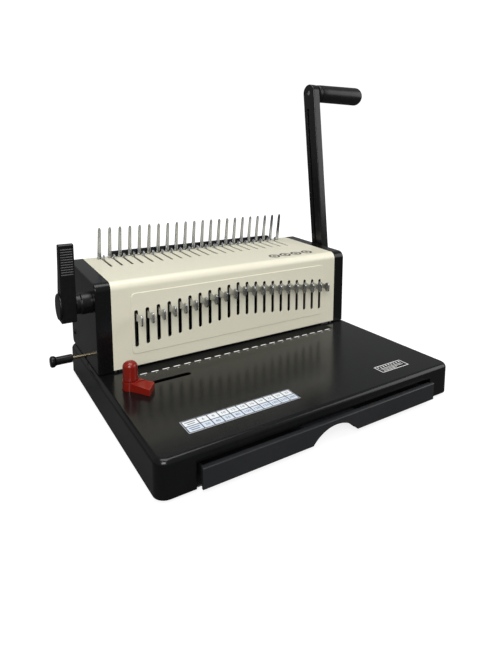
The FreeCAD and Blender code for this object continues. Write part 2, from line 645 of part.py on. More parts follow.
def cap_nodes():
    nodes = {}
    for side, name in ((-1, "left_end_cap"), (1, "right_end_cap")):
        x0, x1 = sorted((side * COVER_HALF, side * HOUSING_HALF))
        shell = cap_block(x0, x1, 0)
        rim = edges_where(shell, lambda b: b.XLength < 0.01 and abs(b.XMin - side * HOUSING_HALF) < 0.01)
        shell = fillet(shell, 1.5, rim)
        i0, i1 = sorted((side * (COVER_HALF - 1), side * (HOUSING_HALF - CAP_WALL)))
        shell = shell.cut(cap_block(i0, i1, CAP_WALL))
        if side < 0:
            notch = box(x0 - 1, x1 + 1, ROD_Y - ROD_RADIUS - 1, ROD_Y + ROD_RADIUS + 1, BASE_TOP, ROD_Z)
            tools = [rod_x(x0 - 1, x0 + 4, LEVER_Y, LEVER_Z, OPENER_SHAFT_RADIUS + 1), notch,
                     rod_x(x0 - 1, x1 + 1, ROD_Y, ROD_Z, ROD_RADIUS + 1)]
        else:
            tools = [rod_x(x1 - 4, x1 + 1, SHAFT_Y, SHAFT_Z, SHAFT_RADIUS + 1)]
        nodes[name] = cut(shell, tools)
    return nodes


def rear_nodes():
    back = HOUSING_DEPTH - 1
    panel = box(-COVER_HALF, COVER_HALF, back - 3.4, back - 2.2, BASE_TOP + 0.2, top_at(back) - 4)
    vents = [slot_xz(n * 14, COVER_Z + 24, COVER_Z + 60, 4, back - 5, back) for n in range(-6, 7)]
    rail_y = FINGER_Y + 2 * FINGER_THICK
    low = top_at(rail_y + RAIL_DEPTH)
    rail = plate_xz([(-RAIL_HALF, low), (RAIL_HALF, low), (RAIL_HALF - RAIL_HEIGHT / 2, low + RAIL_HEIGHT),
                     (-RAIL_HALF, low + RAIL_HEIGHT)], rail_y, rail_y + RAIL_DEPTH)
    return {"rear_panel": cut(panel, vents), "rear_rail": rail}


# ---- comb fingers, hooks and their drive ----
def finger_nodes():
    root_z = top_at(FINGER_Y) + 0.2
    low_z = root_z - 14
    solids = []
    for k in range(HOLES + 1):
        x = FINGER_X + k * PITCH
        a, b, tip = FINGER_BASE / 2, FINGER_TIP / 2, FINGER_HEIGHT
        blade = face([V(x - a, 0, 0), V(x + a, 0, 0), V(x + b, 0, tip - 3), V(x + b * 0.55, 0, tip),
                      V(x - b * 0.55, 0, tip), V(x - b, 0, tip - 3)]).extrude(V(0, FINGER_THICK, 0))
        blade.rotate(V(0, 0, 0), V(1, 0, 0), math.degrees(math.atan(FINGER_LEAN / FINGER_HEIGHT)))
        blade.translate(V(0, FINGER_Y, root_z))
        shank = box(x - a, x + a, FINGER_Y, FINGER_Y + FINGER_THICK, low_z, root_z + 0.3)
        solids.append(fuse([blade, shank]))
    rail = box(FINGER_X - 6, -FINGER_X + 6, FINGER_Y + FINGER_THICK, FINGER_Y + FINGER_THICK + 2.5, low_z,
               root_z - COVER_SHEET - 1.5)
    brackets = [box(*sorted((side * (-FINGER_X + 6), side * FRAME_IN)), FINGER_Y + FINGER_THICK,
                    FINGER_Y + FINGER_THICK + 2.5, low_z, root_z - COVER_SHEET - 1.5) for side in (-1, 1)]
    solids.append(fuse([rail] + brackets))
    return {"comb_fingers": group(solids)}


def finger_windows():
    """Clearance for the fingers in the cover's top."""
    a = FINGER_BASE / 2 + CLEAR
    front, back = FINGER_Y - 1.2, FINGER_Y + FINGER_THICK + 0.4
    middles = [FINGER_X + k * PITCH for k in range(HOLES + 1)]
    return [box(x - a, x + a, front, back, TOP_Z, top_at(HOUSING_DEPTH) + 3) for x in middles]


def plate_level():
    """Underside of the hook plate, close under the cover's top all along its travel."""
    front = HOOK_BACK - HOOK_PLATE_REACH - HOOK_TRAVEL
    return top_at(front) - COVER_SHEET - HOOK_PLATE_GAP - HOOK_PLATE_SHEET


def hook_nodes():
    plate_z = plate_level()
    hook_back = HOOK_BACK
    plate_front, plate_back = HOOK_BACK - HOOK_PLATE_REACH, HOOK_BACK + 1
    plate_top = plate_z + HOOK_PLATE_SHEET
    plate = box(-GEAR_X - 2.5, GEAR_X + 2.5, plate_front, plate_back, plate_z, plate_top)
    start, end = IDLER_Y - 8, IDLER_Y + HOOK_TRAVEL + 8
    line = LEVER_Z + OPENER_RADIUS
    rack_top = line + 1.15 * OPENER_MODULE + 2.0
    teeth = rack_outline(start, end, line, OPENER_MODULE, IDLER_Y, -1)
    pieces = [plate]
    for side in (-1, 1):
        x0, x1 = sorted((side * (GEAR_X - RACK_INSET - 2), side * (GEAR_X - RACK_INSET)))
        pieces.append(plate_yz(teeth + [(end, rack_top), (start, rack_top)], x0, x1))
        pieces.append(box(x0, x1, plate_front, plate_back, rack_top - 0.5, plate_top))
    hooks = []
    for k in range(HOLES):
        x, top = comb_slot_x(k), top_at(hook_back) + HOOK_RISE
        front = hook_back - HOOK_LENGTH
        outline = [(front + 2.0, plate_top), (hook_back - 1, plate_top), (hook_back - 1, top - 3.2),
                   (hook_back - 2.2, top - 0.8), (hook_back - 4.0, top), (front + 0.6, top - 1.6),
                   (front, top - 3.0), (front + 2.6, top - 2.9), (hook_back - 4.4, top - 3.4),
                   (front + 3.4, top - 6.0)]
        hooks.append(plate_yz(outline, x - 0.8, x + 0.8))
    return {"hook_plate": fuse(pieces), "comb_hooks": group(hooks)}


def opener_nodes():
    shaft = rod_x(LEVER_X - LEVER_WIDTH + 1, FRAME_OUT + 1, LEVER_Y, LEVER_Z, OPENER_SHAFT_RADIUS)
    tooth = math.pi / OPENER_TEETH
    driver, idlers = [], []
    for side in (-1, 1):
        outer = side * (GEAR_X + 1.6)
        x0, x1 = sorted((outer, side * (GEAR_X - RACK_INSET + 1)))
        driver.append(gear(OPENER_TEETH, OPENER_MODULE, LEVER_Y, LEVER_Z, x0, x1, OPENER_SHAFT_RADIUS, 0.0))
        x0, x1 = sorted((outer, side * (GEAR_X - RACK_INSET - 2)))
        idlers.append(gear(OPENER_TEETH, OPENER_MODULE, IDLER_Y, LEVER_Z, x0, x1, OPENER_SHAFT_RADIUS,
                           math.pi - tooth))
    cross = rod_x(-FRAME_OUT, FRAME_OUT, IDLER_Y, LEVER_Z, OPENER_SHAFT_RADIUS)

    front, bottom, top = LEVER_Y - 10, LEVER_Z - 18.5, LEVER_Z + 73
    back = LEVER_Y + 10.5
    lever = plate_yz([(front, bottom + 2), (front + 1.5, bottom), (LEVER_Y + 6, bottom), (back, bottom + 7),
                      (back, LEVER_Z + 8), (LEVER_Y + 3.5, LEVER_Z + 40), (front + 9.4, top - 1),
                      (front + 8.0, top), (front + 1, top), (front, top - 1)], LEVER_X - LEVER_WIDTH, LEVER_X)
    grooves = [box(LEVER_X - LEVER_WIDTH + 1.5, LEVER_X - 1.5, front - 1, front + 0.9, z, z + 1.3)
               for z in (top - 4 - 2.9 * n for n in range(10))]
    bore = rod_x(LEVER_X - LEVER_WIDTH + 1, LEVER_X + 1, LEVER_Y, LEVER_Z, OPENER_SHAFT_RADIUS)
    lever = cut(lever, grooves + [bore])
    face_x = LEVER_X - LEVER_WIDTH
    cap_end, rim = face_x - LEVER_CAP, LEVER_CAP_RADIUS
    cap = turned_x([(face_x, 0), (face_x, rim), (cap_end + 0.8, rim), (cap_end, rim - 1), (cap_end, 0)],
                   LEVER_Y, LEVER_Z)
    boss_end, step = LEVER_X + CLEAR, BOSS_RADIUS - 1
    boss = turned_x([(-HOUSING_HALF, 0), (-HOUSING_HALF, BOSS_RADIUS), (boss_end + 6, BOSS_RADIUS),
                     (boss_end + 5, step), (boss_end, step), (boss_end, 0)], LEVER_Y, LEVER_Z)
    boss = boss.cut(rod_x(LEVER_X, 0, LEVER_Y, LEVER_Z, OPENER_SHAFT_RADIUS + RUNNING))
    return {"opener_shaft": shaft, "opener_gears": group(driver), "idler_gears": fuse(idlers + [cross]),
            "comb_lever": lever, "lever_cap": cap, "lever_boss": boss}


# ---- margin control and paper stop ----
def margin_nodes():
    end = KNOB_X - KNOB_LENGTH
    knob = turned_x([(KNOB_X, 0), (KNOB_X, KNOB_RADIUS - 0.6), (KNOB_X - 1, KNOB_RADIUS),
                     (end + 7, KNOB_RADIUS), (end + 4.5, KNOB_FLARE), (end + 1.2, KNOB_FLARE),
                     (end, KNOB_FLARE - 1.6), (end, 0)], ROD_Y, ROD_Z)
    rod_end = KNOB_X - KNOB_BORE
    knob = knob.cut(rod_x(rod_end, KNOB_X + 1, ROD_Y, ROD_Z, ROD_RADIUS))
    rod = rod_x(rod_end, FRAME_OUT, ROD_Y, ROD_Z, ROD_RADIUS)
    stop_front, stop_back = PIN_Y + 4.5, PIN_Y + 6.5
    arm_end, low, high = ROD_Y - 8.0, BASE_TOP + 0.3, COVER_Z - 0.4
    cams, arms = [], []
    for side in (-1, 1):
        x = side * (HALF_SPAN - PITCH)
        cams.append(rod_x(x - 3, x + 3, ROD_Y - 1.5, ROD_Z, 4.2))
        arms.append(box(x - 5, x + 5, stop_back - 0.5, arm_end, low, high))
        arms.append(box(x - 5, x + 5, arm_end - 2, arm_end, low, ROD_Z + 3))
    bar = box(-HALF_SPAN - 6, HALF_SPAN + 6, stop_front, stop_back, low, high)
    return {"margin_knob": knob, "margin_rod": fuse([rod] + cams), "paper_stop": fuse([bar] + arms)}


# ---- edge guide and printed table ----
def guide_nodes():
    """Locking lever that turns on the post's stud; the post slides with its clamp plate."""
    x, y, low = GUIDE_X, GUIDE_Y, BASE_TOP + 0.1
    top = BASE_TOP + GUIDE_LEVER_TOP
    wing = plate_xy([(x + 3, y + 7), (x + 8, y + 2), (x + 12, y - 6), (x + 22, y - 16), (x + 11, y - 30),
                     (x + 3, y - 17), (x - 5, y - 6)], low, top)
    slope = plate_yz([(y - 40, top - 4.5), (y - 40, top + 5), (y - 8, top + 5), (y - 8, top - 1.0)],
                     x - 40, x + 40)
    collar = rod_z(low, top, x, y, GUIDE_POST_RADIUS + 0.75)
    lever = fuse([wing.cut(slope), collar]).cut(rod_z(BASE_TOP - 6, top + 2, x, y, GUIDE_STUD_RADIUS + RUNNING))
    under = BASE_TOP - BASE_SHEET
    clamp = box(x - 9, x + 9, y - 8, y + 8, under - 2.4, under - 0.1)
    stud = rod_z(under - 4, top + 1, x, y, GUIDE_STUD_RADIUS)
    tip = BASE_TOP + GUIDE_POST_TOP
    r = GUIDE_POST_RADIUS
    dome = [(r * math.cos(t), tip - 6 + 6 * math.sin(t)) for t in (math.pi / 2 * n / 6 for n in range(6))]
    outline = [V(x, y, top + 0.1), V(x + r - 0.8, y, top + 0.1), V(x + r, y, top + 0.9)]
    outline += [V(x + a, y, z) for a, z in dome] + [V(x, y, tip)]
    post = face(outline).revolve(V(x, y, 0), V(0, 0, 1), 360)
    return {"guide_lever": lever, "guide_post": fuse([post, stud, clamp])}


def sticker_node():
    x, y = -BASE_HALF + TABLE_INSET, TABLE_FRONT
    return {"size_table": box(x, x + TABLE_WIDTH, y, y + TABLE_DEPTH, BASE_TOP, BASE_TOP + TABLE_THICK)}


def screw_node():
    """Pan-head screws of the end caps and the rear panel."""
    screws = []
    for side in (-1, 1):
        x = side * HOUSING_HALF
        for y, z in ((HOUSING_DEPTH - 14, COVER_Z + 16), (HOUSING_DEPTH - 14, TOP_Z - 16)):
            screws.append(rod_x(*sorted((x, x + side * 1.6)), y, z, 3.5))
    back = HOUSING_DEPTH - 3.2
    for x in (-COVER_HALF + 12, 0, COVER_HALF - 12):
        screws.append(rod_y(back, back + 1.8, x, COVER_Z + 10, 3.5))
    return {"panel_screws": group(screws)}


def build():
    nodes = {}
    for part in (base_nodes, drawer_node, frame_nodes, die_nodes, punch_nodes, spring_node, tab_nodes,
                 drive_nodes, handle_nodes, cover_node, cap_nodes, rear_nodes, finger_nodes, hook_nodes,
                 opener_nodes, margin_nodes, guide_nodes, sticker_node, screw_node):
        nodes.update(part())
    nodes["front_cover"] = cut(nodes["front_cover"], finger_windows())
    return nodes


os.makedirs("parts", exist_ok=True)
for name, shape in build().items():
    shape.translate(SHIFT)
    if not shape.isValid():
        print("not valid:", name)
    shape.exportStep("parts/%s.step" % name)
print("shift", tuple(round(v, 4) for v in SHIFT))
print("grip axis", [round(v, 4) for v in arm_top()], "hook travel", round(HOOK_TRAVEL, 4))
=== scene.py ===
"""Looks of a manual comb binding machine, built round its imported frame. All lengths are in metres."""
from __future__ import annotations

import json
import logging
import math
from contextlib import contextmanager
from dataclasses import dataclass, field
from enum import Enum
from typing import Iterator, Sequence

import bpy
from mathutils import Euler, Matrix, Vector

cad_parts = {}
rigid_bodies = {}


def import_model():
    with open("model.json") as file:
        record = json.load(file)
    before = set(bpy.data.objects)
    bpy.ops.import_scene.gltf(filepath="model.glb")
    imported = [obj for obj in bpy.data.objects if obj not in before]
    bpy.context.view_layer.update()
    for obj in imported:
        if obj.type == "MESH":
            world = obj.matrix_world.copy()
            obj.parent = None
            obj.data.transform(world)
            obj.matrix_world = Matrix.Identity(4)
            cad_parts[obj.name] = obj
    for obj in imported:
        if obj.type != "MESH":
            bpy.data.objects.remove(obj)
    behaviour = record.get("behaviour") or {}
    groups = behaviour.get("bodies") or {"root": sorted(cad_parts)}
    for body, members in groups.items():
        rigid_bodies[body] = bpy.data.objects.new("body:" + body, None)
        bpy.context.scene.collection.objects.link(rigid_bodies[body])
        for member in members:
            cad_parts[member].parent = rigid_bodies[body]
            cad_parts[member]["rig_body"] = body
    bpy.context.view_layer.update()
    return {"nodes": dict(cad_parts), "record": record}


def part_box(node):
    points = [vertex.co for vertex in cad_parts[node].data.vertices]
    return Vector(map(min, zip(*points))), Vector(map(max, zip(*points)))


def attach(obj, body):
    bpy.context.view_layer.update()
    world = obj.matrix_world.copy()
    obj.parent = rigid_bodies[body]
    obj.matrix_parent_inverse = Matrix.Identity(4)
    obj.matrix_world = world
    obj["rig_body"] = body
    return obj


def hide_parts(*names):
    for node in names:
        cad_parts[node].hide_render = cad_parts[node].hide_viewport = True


LOG = logging.getLogger("comb_binder")
MM = 0.001
CAD_WELD = 2e-6
TURNED_WELD = 1e-6
FLAT_DEGREES = 0.3
SMOOTH_DEGREES = 38
Colour = tuple[float, float, float]


class Axis(Enum):
    """Direction that a turned piece points along."""

    X = (0.0, math.pi / 2, 0.0)
    MINUS_X = (0.0, -math.pi / 2, 0.0)
    Y = (-math.pi / 2, 0.0, 0.0)
    Z = (0.0, 0.0, 0.0)


# ---- modelling tools ----
def clear_selection() -> None:
    """Leave edit mode and deselect every object."""
    if bpy.context.mode != "OBJECT":
        bpy.ops.object.mode_set(mode="OBJECT")
    bpy.ops.object.select_all(action="DESELECT")


def pick(piece: bpy.types.Object) -> None:
    """Select one piece alone and make it active.

    Args:
        piece: The object.
    """
    clear_selection()
    piece.select_set(True)
    bpy.context.view_layer.objects.active = piece


@contextmanager
def editing(piece: bpy.types.Object, everything: bool = True) -> Iterator[bpy.types.Object]:
    """Hold a piece in edit mode.

    Args:
        piece: The mesh object to edit.
        everything: Whether all of it starts selected.

    Yields:
        The same object.
    """
    pick(piece)
    bpy.ops.object.mode_set(mode="EDIT")
    bpy.ops.mesh.select_mode(type="FACE")
    bpy.ops.mesh.select_all(action="SELECT" if everything else "DESELECT")
    yield piece
    bpy.ops.object.mode_set(mode="OBJECT")


def settle(piece: bpy.types.Object) -> bpy.types.Object:
    """Put the object's place, turn and scale into its mesh.

    Args:
        piece: The object to settle.

    Returns:
        The same object, now at the origin.
    """
    pick(piece)
    bpy.ops.object.transform_apply(location=True, rotation=True, scale=True)
    return piece


def apply_modifier(piece: bpy.types.Object, kind: str, **settings: object) -> None:
    """Add one modifier and apply it.

    Args:
        piece: The mesh object.
        kind: Blender's name of the modifier.
        settings: The modifier's settings by name.
    """
    pick(piece)
    modifier = piece.modifiers.new(kind.title(), kind)
    for name, value in settings.items():
        setattr(modifier, name, value)
    bpy.ops.object.modifier_apply(modifier=modifier.name)


def soften(piece: bpy.types.Object, width: float, segments: int = 2, angle: float = 40.0) -> None:
    """Round the sharp edges and keep the large faces flat in shading.

    Args:
        piece: The mesh object.
        width: Width of the rounded edge.
        segments: Steps across the rounding.
        angle: Edges sharper than this many degrees are rounded.
    """
    if width > 0:
        apply_modifier(piece, "BEVEL", width=width, segments=segments, limit_method="ANGLE",
                       angle_limit=math.radians(angle), use_clamp_overlap=True)
    pick(piece)
    bpy.ops.object.shade_smooth_by_angle(angle=math.radians(SMOOTH_DEGREES))
    apply_modifier(piece, "WEIGHTED_NORMAL", mode="FACE_AREA", weight=60, keep_sharp=True)


def join(pieces: Sequence[bpy.types.Object], name: str) -> bpy.types.Object:
    """Join several pieces into the first one.

    Args:
        pieces: The mesh objects, at least one.
        name: Name of the result.

    Returns:
        The joined object.
    """
    clear_selection()
    for piece in pieces:
        piece.select_set(True)
    bpy.context.view_layer.objects.active = pieces[0]
    if len(pieces) > 1:
        bpy.ops.object.join()
    pieces[0].name = name
    return pieces[0]


def copy_of(piece: bpy.types.Object, offset: Vector) -> bpy.types.Object:
    """Copy a piece with its own mesh and move the copy's mesh.

    Args:
        piece: The piece to copy.
        offset: How far the copy lies from it.

    Returns:
        The copy.
    """
    twin = piece.copy()
    twin.data = piece.data.copy()
    twin.data.transform(Matrix.Translation(offset))
    bpy.context.scene.collection.objects.link(twin)
    return twin


def block(low: Vector, high: Vector) -> bpy.types.Object:
    """A block between two corners, with its place in its mesh.

    Args:
        low: Lowest corner.
        high: Highest corner.

    Returns:
        The new object.
    """
    clear_selection()
    bpy.ops.mesh.primitive_cube_add(size=1, location=(low + high) / 2)
    piece = bpy.context.active_object
    piece.scale = high - low
    return settle(piece)


def turned(name: str, start: Vector, axis: Axis, profile: Sequence[tuple[float, float]],
           sides: int = 64) -> bpy.types.Object:
    """Turn a round piece by extruding a disc through a profile.

    Args:
        name: Name of the piece.
        start: Point on the axis where distances count from.
        axis: Direction of the axis.
        profile: Pairs of distance along the axis and radius.
        sides: Faces round the axis.

    Returns:
        The new object, at the origin.
    """
    clear_selection()
    first, radius = profile[0]
    bpy.ops.mesh.primitive_circle_add(vertices=sides, radius=radius, fill_type="NGON", location=(0, 0, first))
    piece = bpy.context.active_object
    piece.name = name
    settle(piece)
    with editing(piece):
        for (here, wide), (there, next_wide) in zip(profile, profile[1:]):
            bpy.ops.mesh.extrude_region_move(TRANSFORM_OT_translate={"value": (0, 0, there - here)})
            share = next_wide / wide
            bpy.ops.transform.resize(value=(share, share, 1), center_override=(0, 0, there))
        bpy.ops.mesh.select_all(action="SELECT")
        bpy.ops.mesh.remove_doubles(threshold=TURNED_WELD)
        bpy.ops.mesh.normals_make_consistent(inside=False)
    piece.matrix_world = Matrix.Translation(start) @ Euler(axis.value).to_matrix().to_4x4()
    return settle(piece)


def refined(node: str, name: str, width: float, segments: int = 2, angle: float = 40.0) -> bpy.types.Object:
    """Copy a CAD node's shape into a new piece with rounded edges and smooth curves.

    Args:
        node: The CAD node.
        name: Name of the new piece.
        width: Width of the rounded edges.
        segments: Steps across the rounding.
        angle: Edges sharper than this many degrees are rounded.

    Returns:
        The new piece, which stands for the node and rides on its body.
    """
    source = bpy.data.objects[node]
    piece = bpy.data.objects.new(name, source.data.copy())
    bpy.context.scene.collection.objects.link(piece)
    with editing(piece):
        bpy.ops.mesh.remove_doubles(threshold=CAD_WELD)
        bpy.ops.mesh.dissolve_limited(angle_limit=math.radians(FLAT_DEGREES))
    soften(piece, width, segments, angle)
    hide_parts(node)
    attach(piece, source["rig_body"])
    return piece


def solids_of(node: str) -> list[tuple[Vector, Vector]]:
    """Corners of each separate solid in a CAD node.

    Args:
        node: The CAD node.

    Returns:
        The lowest and highest corner of each solid, in order of X, Y and Z.
    """
    twin = bpy.data.objects.new(node + "_split", bpy.data.objects[node].data.copy())
    bpy.context.scene.collection.objects.link(twin)
    with editing(twin):
        bpy.ops.mesh.remove_doubles(threshold=CAD_WELD)
        bpy.ops.mesh.separate(type="LOOSE")
    pieces = list(bpy.context.selected_objects)
    corners = []
    for piece in pieces:
        points = [vertex.co for vertex in piece.data.vertices]
        corners.append((Vector(min(point[axis] for point in points) for axis in range(3)),
                        Vector(max(point[axis] for point in points) for axis in range(3))))
    bpy.ops.object.delete()
    return sorted(corners, key=lambda pair: tuple(round(value, 4) for value in pair[0]))


def lettering(text: str, size: float, place: Vector, turn: float = 0.0) -> bpy.types.Object:
    """Flat characters lying face up, as a mesh.

    Args:
        text: The characters.
        size: Their height.
        place: Middle of the text.
        turn: Turn about the vertical, in radians.

    Returns:
        The new mesh object, at the origin.
    """
    clear_selection()
    bpy.ops.object.text_add(location=place, rotation=(0, 0, turn))
    words = bpy.context.active_object
    words.data.body = text
    words.data.size = size
    words.data.align_x = "CENTER"
    words.data.align_y = "CENTER"
    words.data.resolution_u = 2
    bpy.ops.object.convert(target="MESH")
    return settle(bpy.context.active_object)


# ---- shared shader groups ----
def new_group(name: str, inputs: Sequence[tuple[str, str, object]],
              outputs: Sequence[tuple[str, str]]) -> bpy.types.ShaderNodeTree:
    """Make an empty node group with named sockets.

    Args:
        name: Name of the group.
        inputs: Name, socket type and default of each input.
        outputs: Name and socket type of each output.

    Returns:
        The group.
    """
    group = bpy.data.node_groups.new(name, "ShaderNodeTree")
    for label, kind, default in inputs:
        socket = group.interface.new_socket(name=label, in_out="INPUT", socket_type=kind)
        if default is not None:
            socket.default_value = default
    for label, kind in outputs:
        group.interface.new_socket(name=label, in_out="OUTPUT", socket_type=kind)
    return group


def fill(node: bpy.types.Node, values: dict[str, object]) -> None:
    """Set inputs of a node.

    Args:
        node: The node.
        values: The value of each input, by the input's name.
    """
    for label, value in values.items():
        node.inputs[label].default_value = value


def noise(tree: bpy.types.NodeTree, vector: bpy.types.NodeSocket, scale: float, detail: float = 2.0,
          roughness: float = 0.5) -> bpy.types.Node:
    """Add a noise texture that reads a vector.

    Args:
        tree: The node tree.
        vector: Where the texture reads.
        scale: Cells per metre.
        detail: Octaves.
        roughness: Strength of the finer octaves.

    Returns:
        The noise node.
    """
    node = tree.nodes.new("ShaderNodeTexNoise")
    fill(node, {"Scale": scale, "Detail": detail, "Roughness": roughness})
    tree.links.new(vector, node.inputs["Vector"])
    return node


def math_node(tree: bpy.types.NodeTree, operation: str, first: object,
              second: object) -> bpy.types.NodeSocket:
    """Add a math node.

    Args:
        tree: The node tree.
        operation: Blender's name of the operation.
        first: Socket or number.
        second: Socket or number.

    Returns:
        The node's output.
    """
    node = tree.nodes.new("ShaderNodeMath")
    node.operation = operation
    for socket, value in zip(node.inputs, (first, second)):
        if isinstance(value, (int, float)):
            socket.default_value = value
        else:
            tree.links.new(value, socket)
    return node.outputs[0]


def tone_group() -> bpy.types.ShaderNodeTree:
    """Group that mottles a colour with slow stains and fine dust.

    Returns:
        The group, with a colour and a mask as outputs.
    """
    tree = new_group("tone", [("Vector", "NodeSocketVector", None),
                              ("Colour", "NodeSocketColor", (1, 1, 1, 1)),
                              ("Worn", "NodeSocketColor", (1, 1, 1, 1)), ("Amount", "NodeSocketFloat", 0.2),
                              ("Slow", "NodeSocketFloat", 12.0), ("Fine", "NodeSocketFloat", 400.0)],
                     [("Colour", "NodeSocketColor"), ("Mask", "NodeSocketFloat")])
    given = tree.nodes.new("NodeGroupInput")
    out = tree.nodes.new("NodeGroupOutput")
    slow = noise(tree, given.outputs["Vector"], 12, 4, 0.55)
    fine = noise(tree, given.outputs["Vector"], 400, 2, 0.6)
    tree.links.new(given.outputs["Slow"], slow.inputs["Scale"])
    tree.links.new(given.outputs["Fine"], fine.inputs["Scale"])
    both = math_node(tree, "MULTIPLY", slow.outputs["Fac"], fine.outputs["Fac"])
    spread = tree.nodes.new("ShaderNodeMapRange")
    fill(spread, {"From Min": 0.18, "From Max": 0.40})
    tree.links.new(both, spread.inputs["Value"])
    mask = math_node(tree, "MULTIPLY", spread.outputs["Result"], given.outputs["Amount"])
    mix = tree.nodes.new("ShaderNodeMix")
    mix.data_type = "RGBA"
    tree.links.new(mask, mix.inputs["Factor"])
    tree.links.new(given.outputs["Colour"], mix.inputs[6])
    tree.links.new(given.outputs["Worn"], mix.inputs[7])
    tree.links.new(mix.outputs[2], out.inputs["Colour"])
    tree.links.new(mask, out.inputs["Mask"])
    return tree


def skin_group() -> bpy.types.ShaderNodeTree:
    """Group for the relief of a coating: broad waviness with a fine grain on it.

    Returns:
        The group, with a height and a roughness as outputs.
    """
    tree = new_group("skin", [("Vector", "NodeSocketVector", None), ("Wave", "NodeSocketFloat", 60.0),
                              ("Grain", "NodeSocketFloat", 900.0), ("Grain share", "NodeSocketFloat", 0.3),
                              ("Roughness", "NodeSocketFloat", 0.3), ("Spread", "NodeSocketFloat", 0.05)],
                     [("Height", "NodeSocketFloat"), ("Roughness", "NodeSocketFloat")])
    given = tree.nodes.new("NodeGroupInput")
    out = tree.nodes.new("NodeGroupOutput")
    wave = noise(tree, given.outputs["Vector"], 60, 2)
    grain = noise(tree, given.outputs["Vector"], 900, 2, 0.6)
    tree.links.new(given.outputs["Wave"], wave.inputs["Scale"])
    tree.links.new(given.outputs["Grain"], grain.inputs["Scale"])
    share = math_node(tree, "MULTIPLY", grain.outputs["Fac"], given.outputs["Grain share"])
    tree.links.new(math_node(tree, "ADD", wave.outputs["Fac"], share), out.inputs["Height"])
    centred = math_node(tree, "SUBTRACT", wave.outputs["Fac"], 0.5)
    change = math_node(tree, "MULTIPLY", centred, given.outputs["Spread"])
    tree.links.new(math_node(tree, "ADD", change, given.outputs["Roughness"]), out.inputs["Roughness"])
    return tree


def brushed_group() -> bpy.types.ShaderNodeTree:
    """Group for the lines that rolling or grinding leaves on metal.

    Returns:
        The group, with a height and a roughness as outputs.
    """
    tree = new_group("brushed", [("Vector", "NodeSocketVector", None), ("Roughness", "NodeSocketFloat", 0.3),
                                 ("Spread", "NodeSocketFloat", 0.15)],
                     [("Height", "NodeSocketFloat"), ("Roughness", "NodeSocketFloat")])
    given = tree.nodes.new("NodeGroupInput")
    out = tree.nodes.new("NodeGroupOutput")
    stretch = tree.nodes.new("ShaderNodeMapping")
    fill(stretch, {"Scale": (3.0, 40.0, 0.6)})
    tree.links.new(given.outputs["Vector"], stretch.inputs["Vector"])
    lines = noise(tree, stretch.outputs["Vector"], 90, 3, 0.6)
    tree.links.new(lines.outputs["Fac"], out.inputs["Height"])
    centred = math_node(tree, "SUBTRACT", lines.outputs["Fac"], 0.5)
    change = math_node(tree, "MULTIPLY", centred, given.outputs["Spread"])
    tree.links.new(math_node(tree, "ADD", change, given.outputs["Roughness"]), out.inputs["Roughness"])
    return tree


# ---- finishes ----
@dataclass(frozen=True)
class Finish:
    """One surface finish and the numbers that make it."""

    name: str
    colour: Colour
    worn: Colour
    amount: float = 0.25
    slow: float = 12.0
    fine: float = 400.0
    roughness: float = 0.3
    spread: float = 0.06
    wave: float = 60.0
    grain: float = 900.0
    grain_share: float = 0.3
    relief: float = 0.05
    metallic: float = 0.0
    coat: float = 0.0
    coat_roughness: float = 0.1
    specular: float = 0.5
    brushed: bool = False

    def material(self) -> bpy.types.Material:
        """Build the material, or return it where it is already built.

        Returns:
            The material.
        """
        title = self.name + "_finish"
        ready = bpy.data.materials.get(title)
        if ready is not None:
            return ready
        made = bpy.data.materials.new(title)
        made.use_nodes = True
        tree = made.node_tree
        shader = tree.nodes["Principled BSDF"]
        place = tree.nodes.new("ShaderNodeTexCoord").outputs["Object"]
        self._colour(tree, place, shader)
        self._surface(tree, place, shader)
        fill(shader, {"Metallic": self.metallic, "Coat Weight": self.coat,
                      "Coat Roughness": self.coat_roughness, "Specular IOR Level": self.specular})
        made.diffuse_color = (*self.colour, 1)
        return made

    def _colour(self, tree: bpy.types.NodeTree, place: bpy.types.NodeSocket, shader: bpy.types.Node) -> None:
        """Feed the mottled colour to the shader.

        Args:
            tree: The material's node tree.
            place: Where the texture reads.
            shader: The shader that takes the colour.
        """
        tone = tree.nodes.new("ShaderNodeGroup")
        tone.node_tree = bpy.data.node_groups["tone"]
        tree.links.new(place, tone.inputs["Vector"])
        fill(tone, {"Colour": (*self.colour, 1), "Worn": (*self.worn, 1), "Amount": self.amount,
                    "Slow": self.slow, "Fine": self.fine})
        tree.links.new(tone.outputs["Colour"], shader.inputs["Base Color"])

    def _surface(self, tree: bpy.types.NodeTree, place: bpy.types.NodeSocket, shader: bpy.types.Node) -> None:
        """Feed the relief and the uneven roughness to the shader.

        Args:
            tree: The material's node tree.
            place: Where the texture reads.
            shader: The shader that takes them.
        """
        skin = tree.nodes.new("ShaderNodeGroup")
        skin.node_tree = bpy.data.node_groups["brushed" if self.brushed else "skin"]
        tree.links.new(place, skin.inputs["Vector"])
        fill(skin, {"Roughness": self.roughness, "Spread": self.spread})
        if not self.brushed:
            fill(skin, {"Wave": self.wave, "Grain": self.grain, "Grain share": self.grain_share})
        bump = tree.nodes.new("ShaderNodeBump")
        fill(bump, {"Strength": self.relief, "Distance": 0.5 * MM})
        tree.links.new(skin.outputs["Height"], bump.inputs["Height"])
        tree.links.new(bump.outputs["Normal"], shader.inputs["Normal"])
        tree.links.new(skin.outputs["Roughness"], shader.inputs["Roughness"])


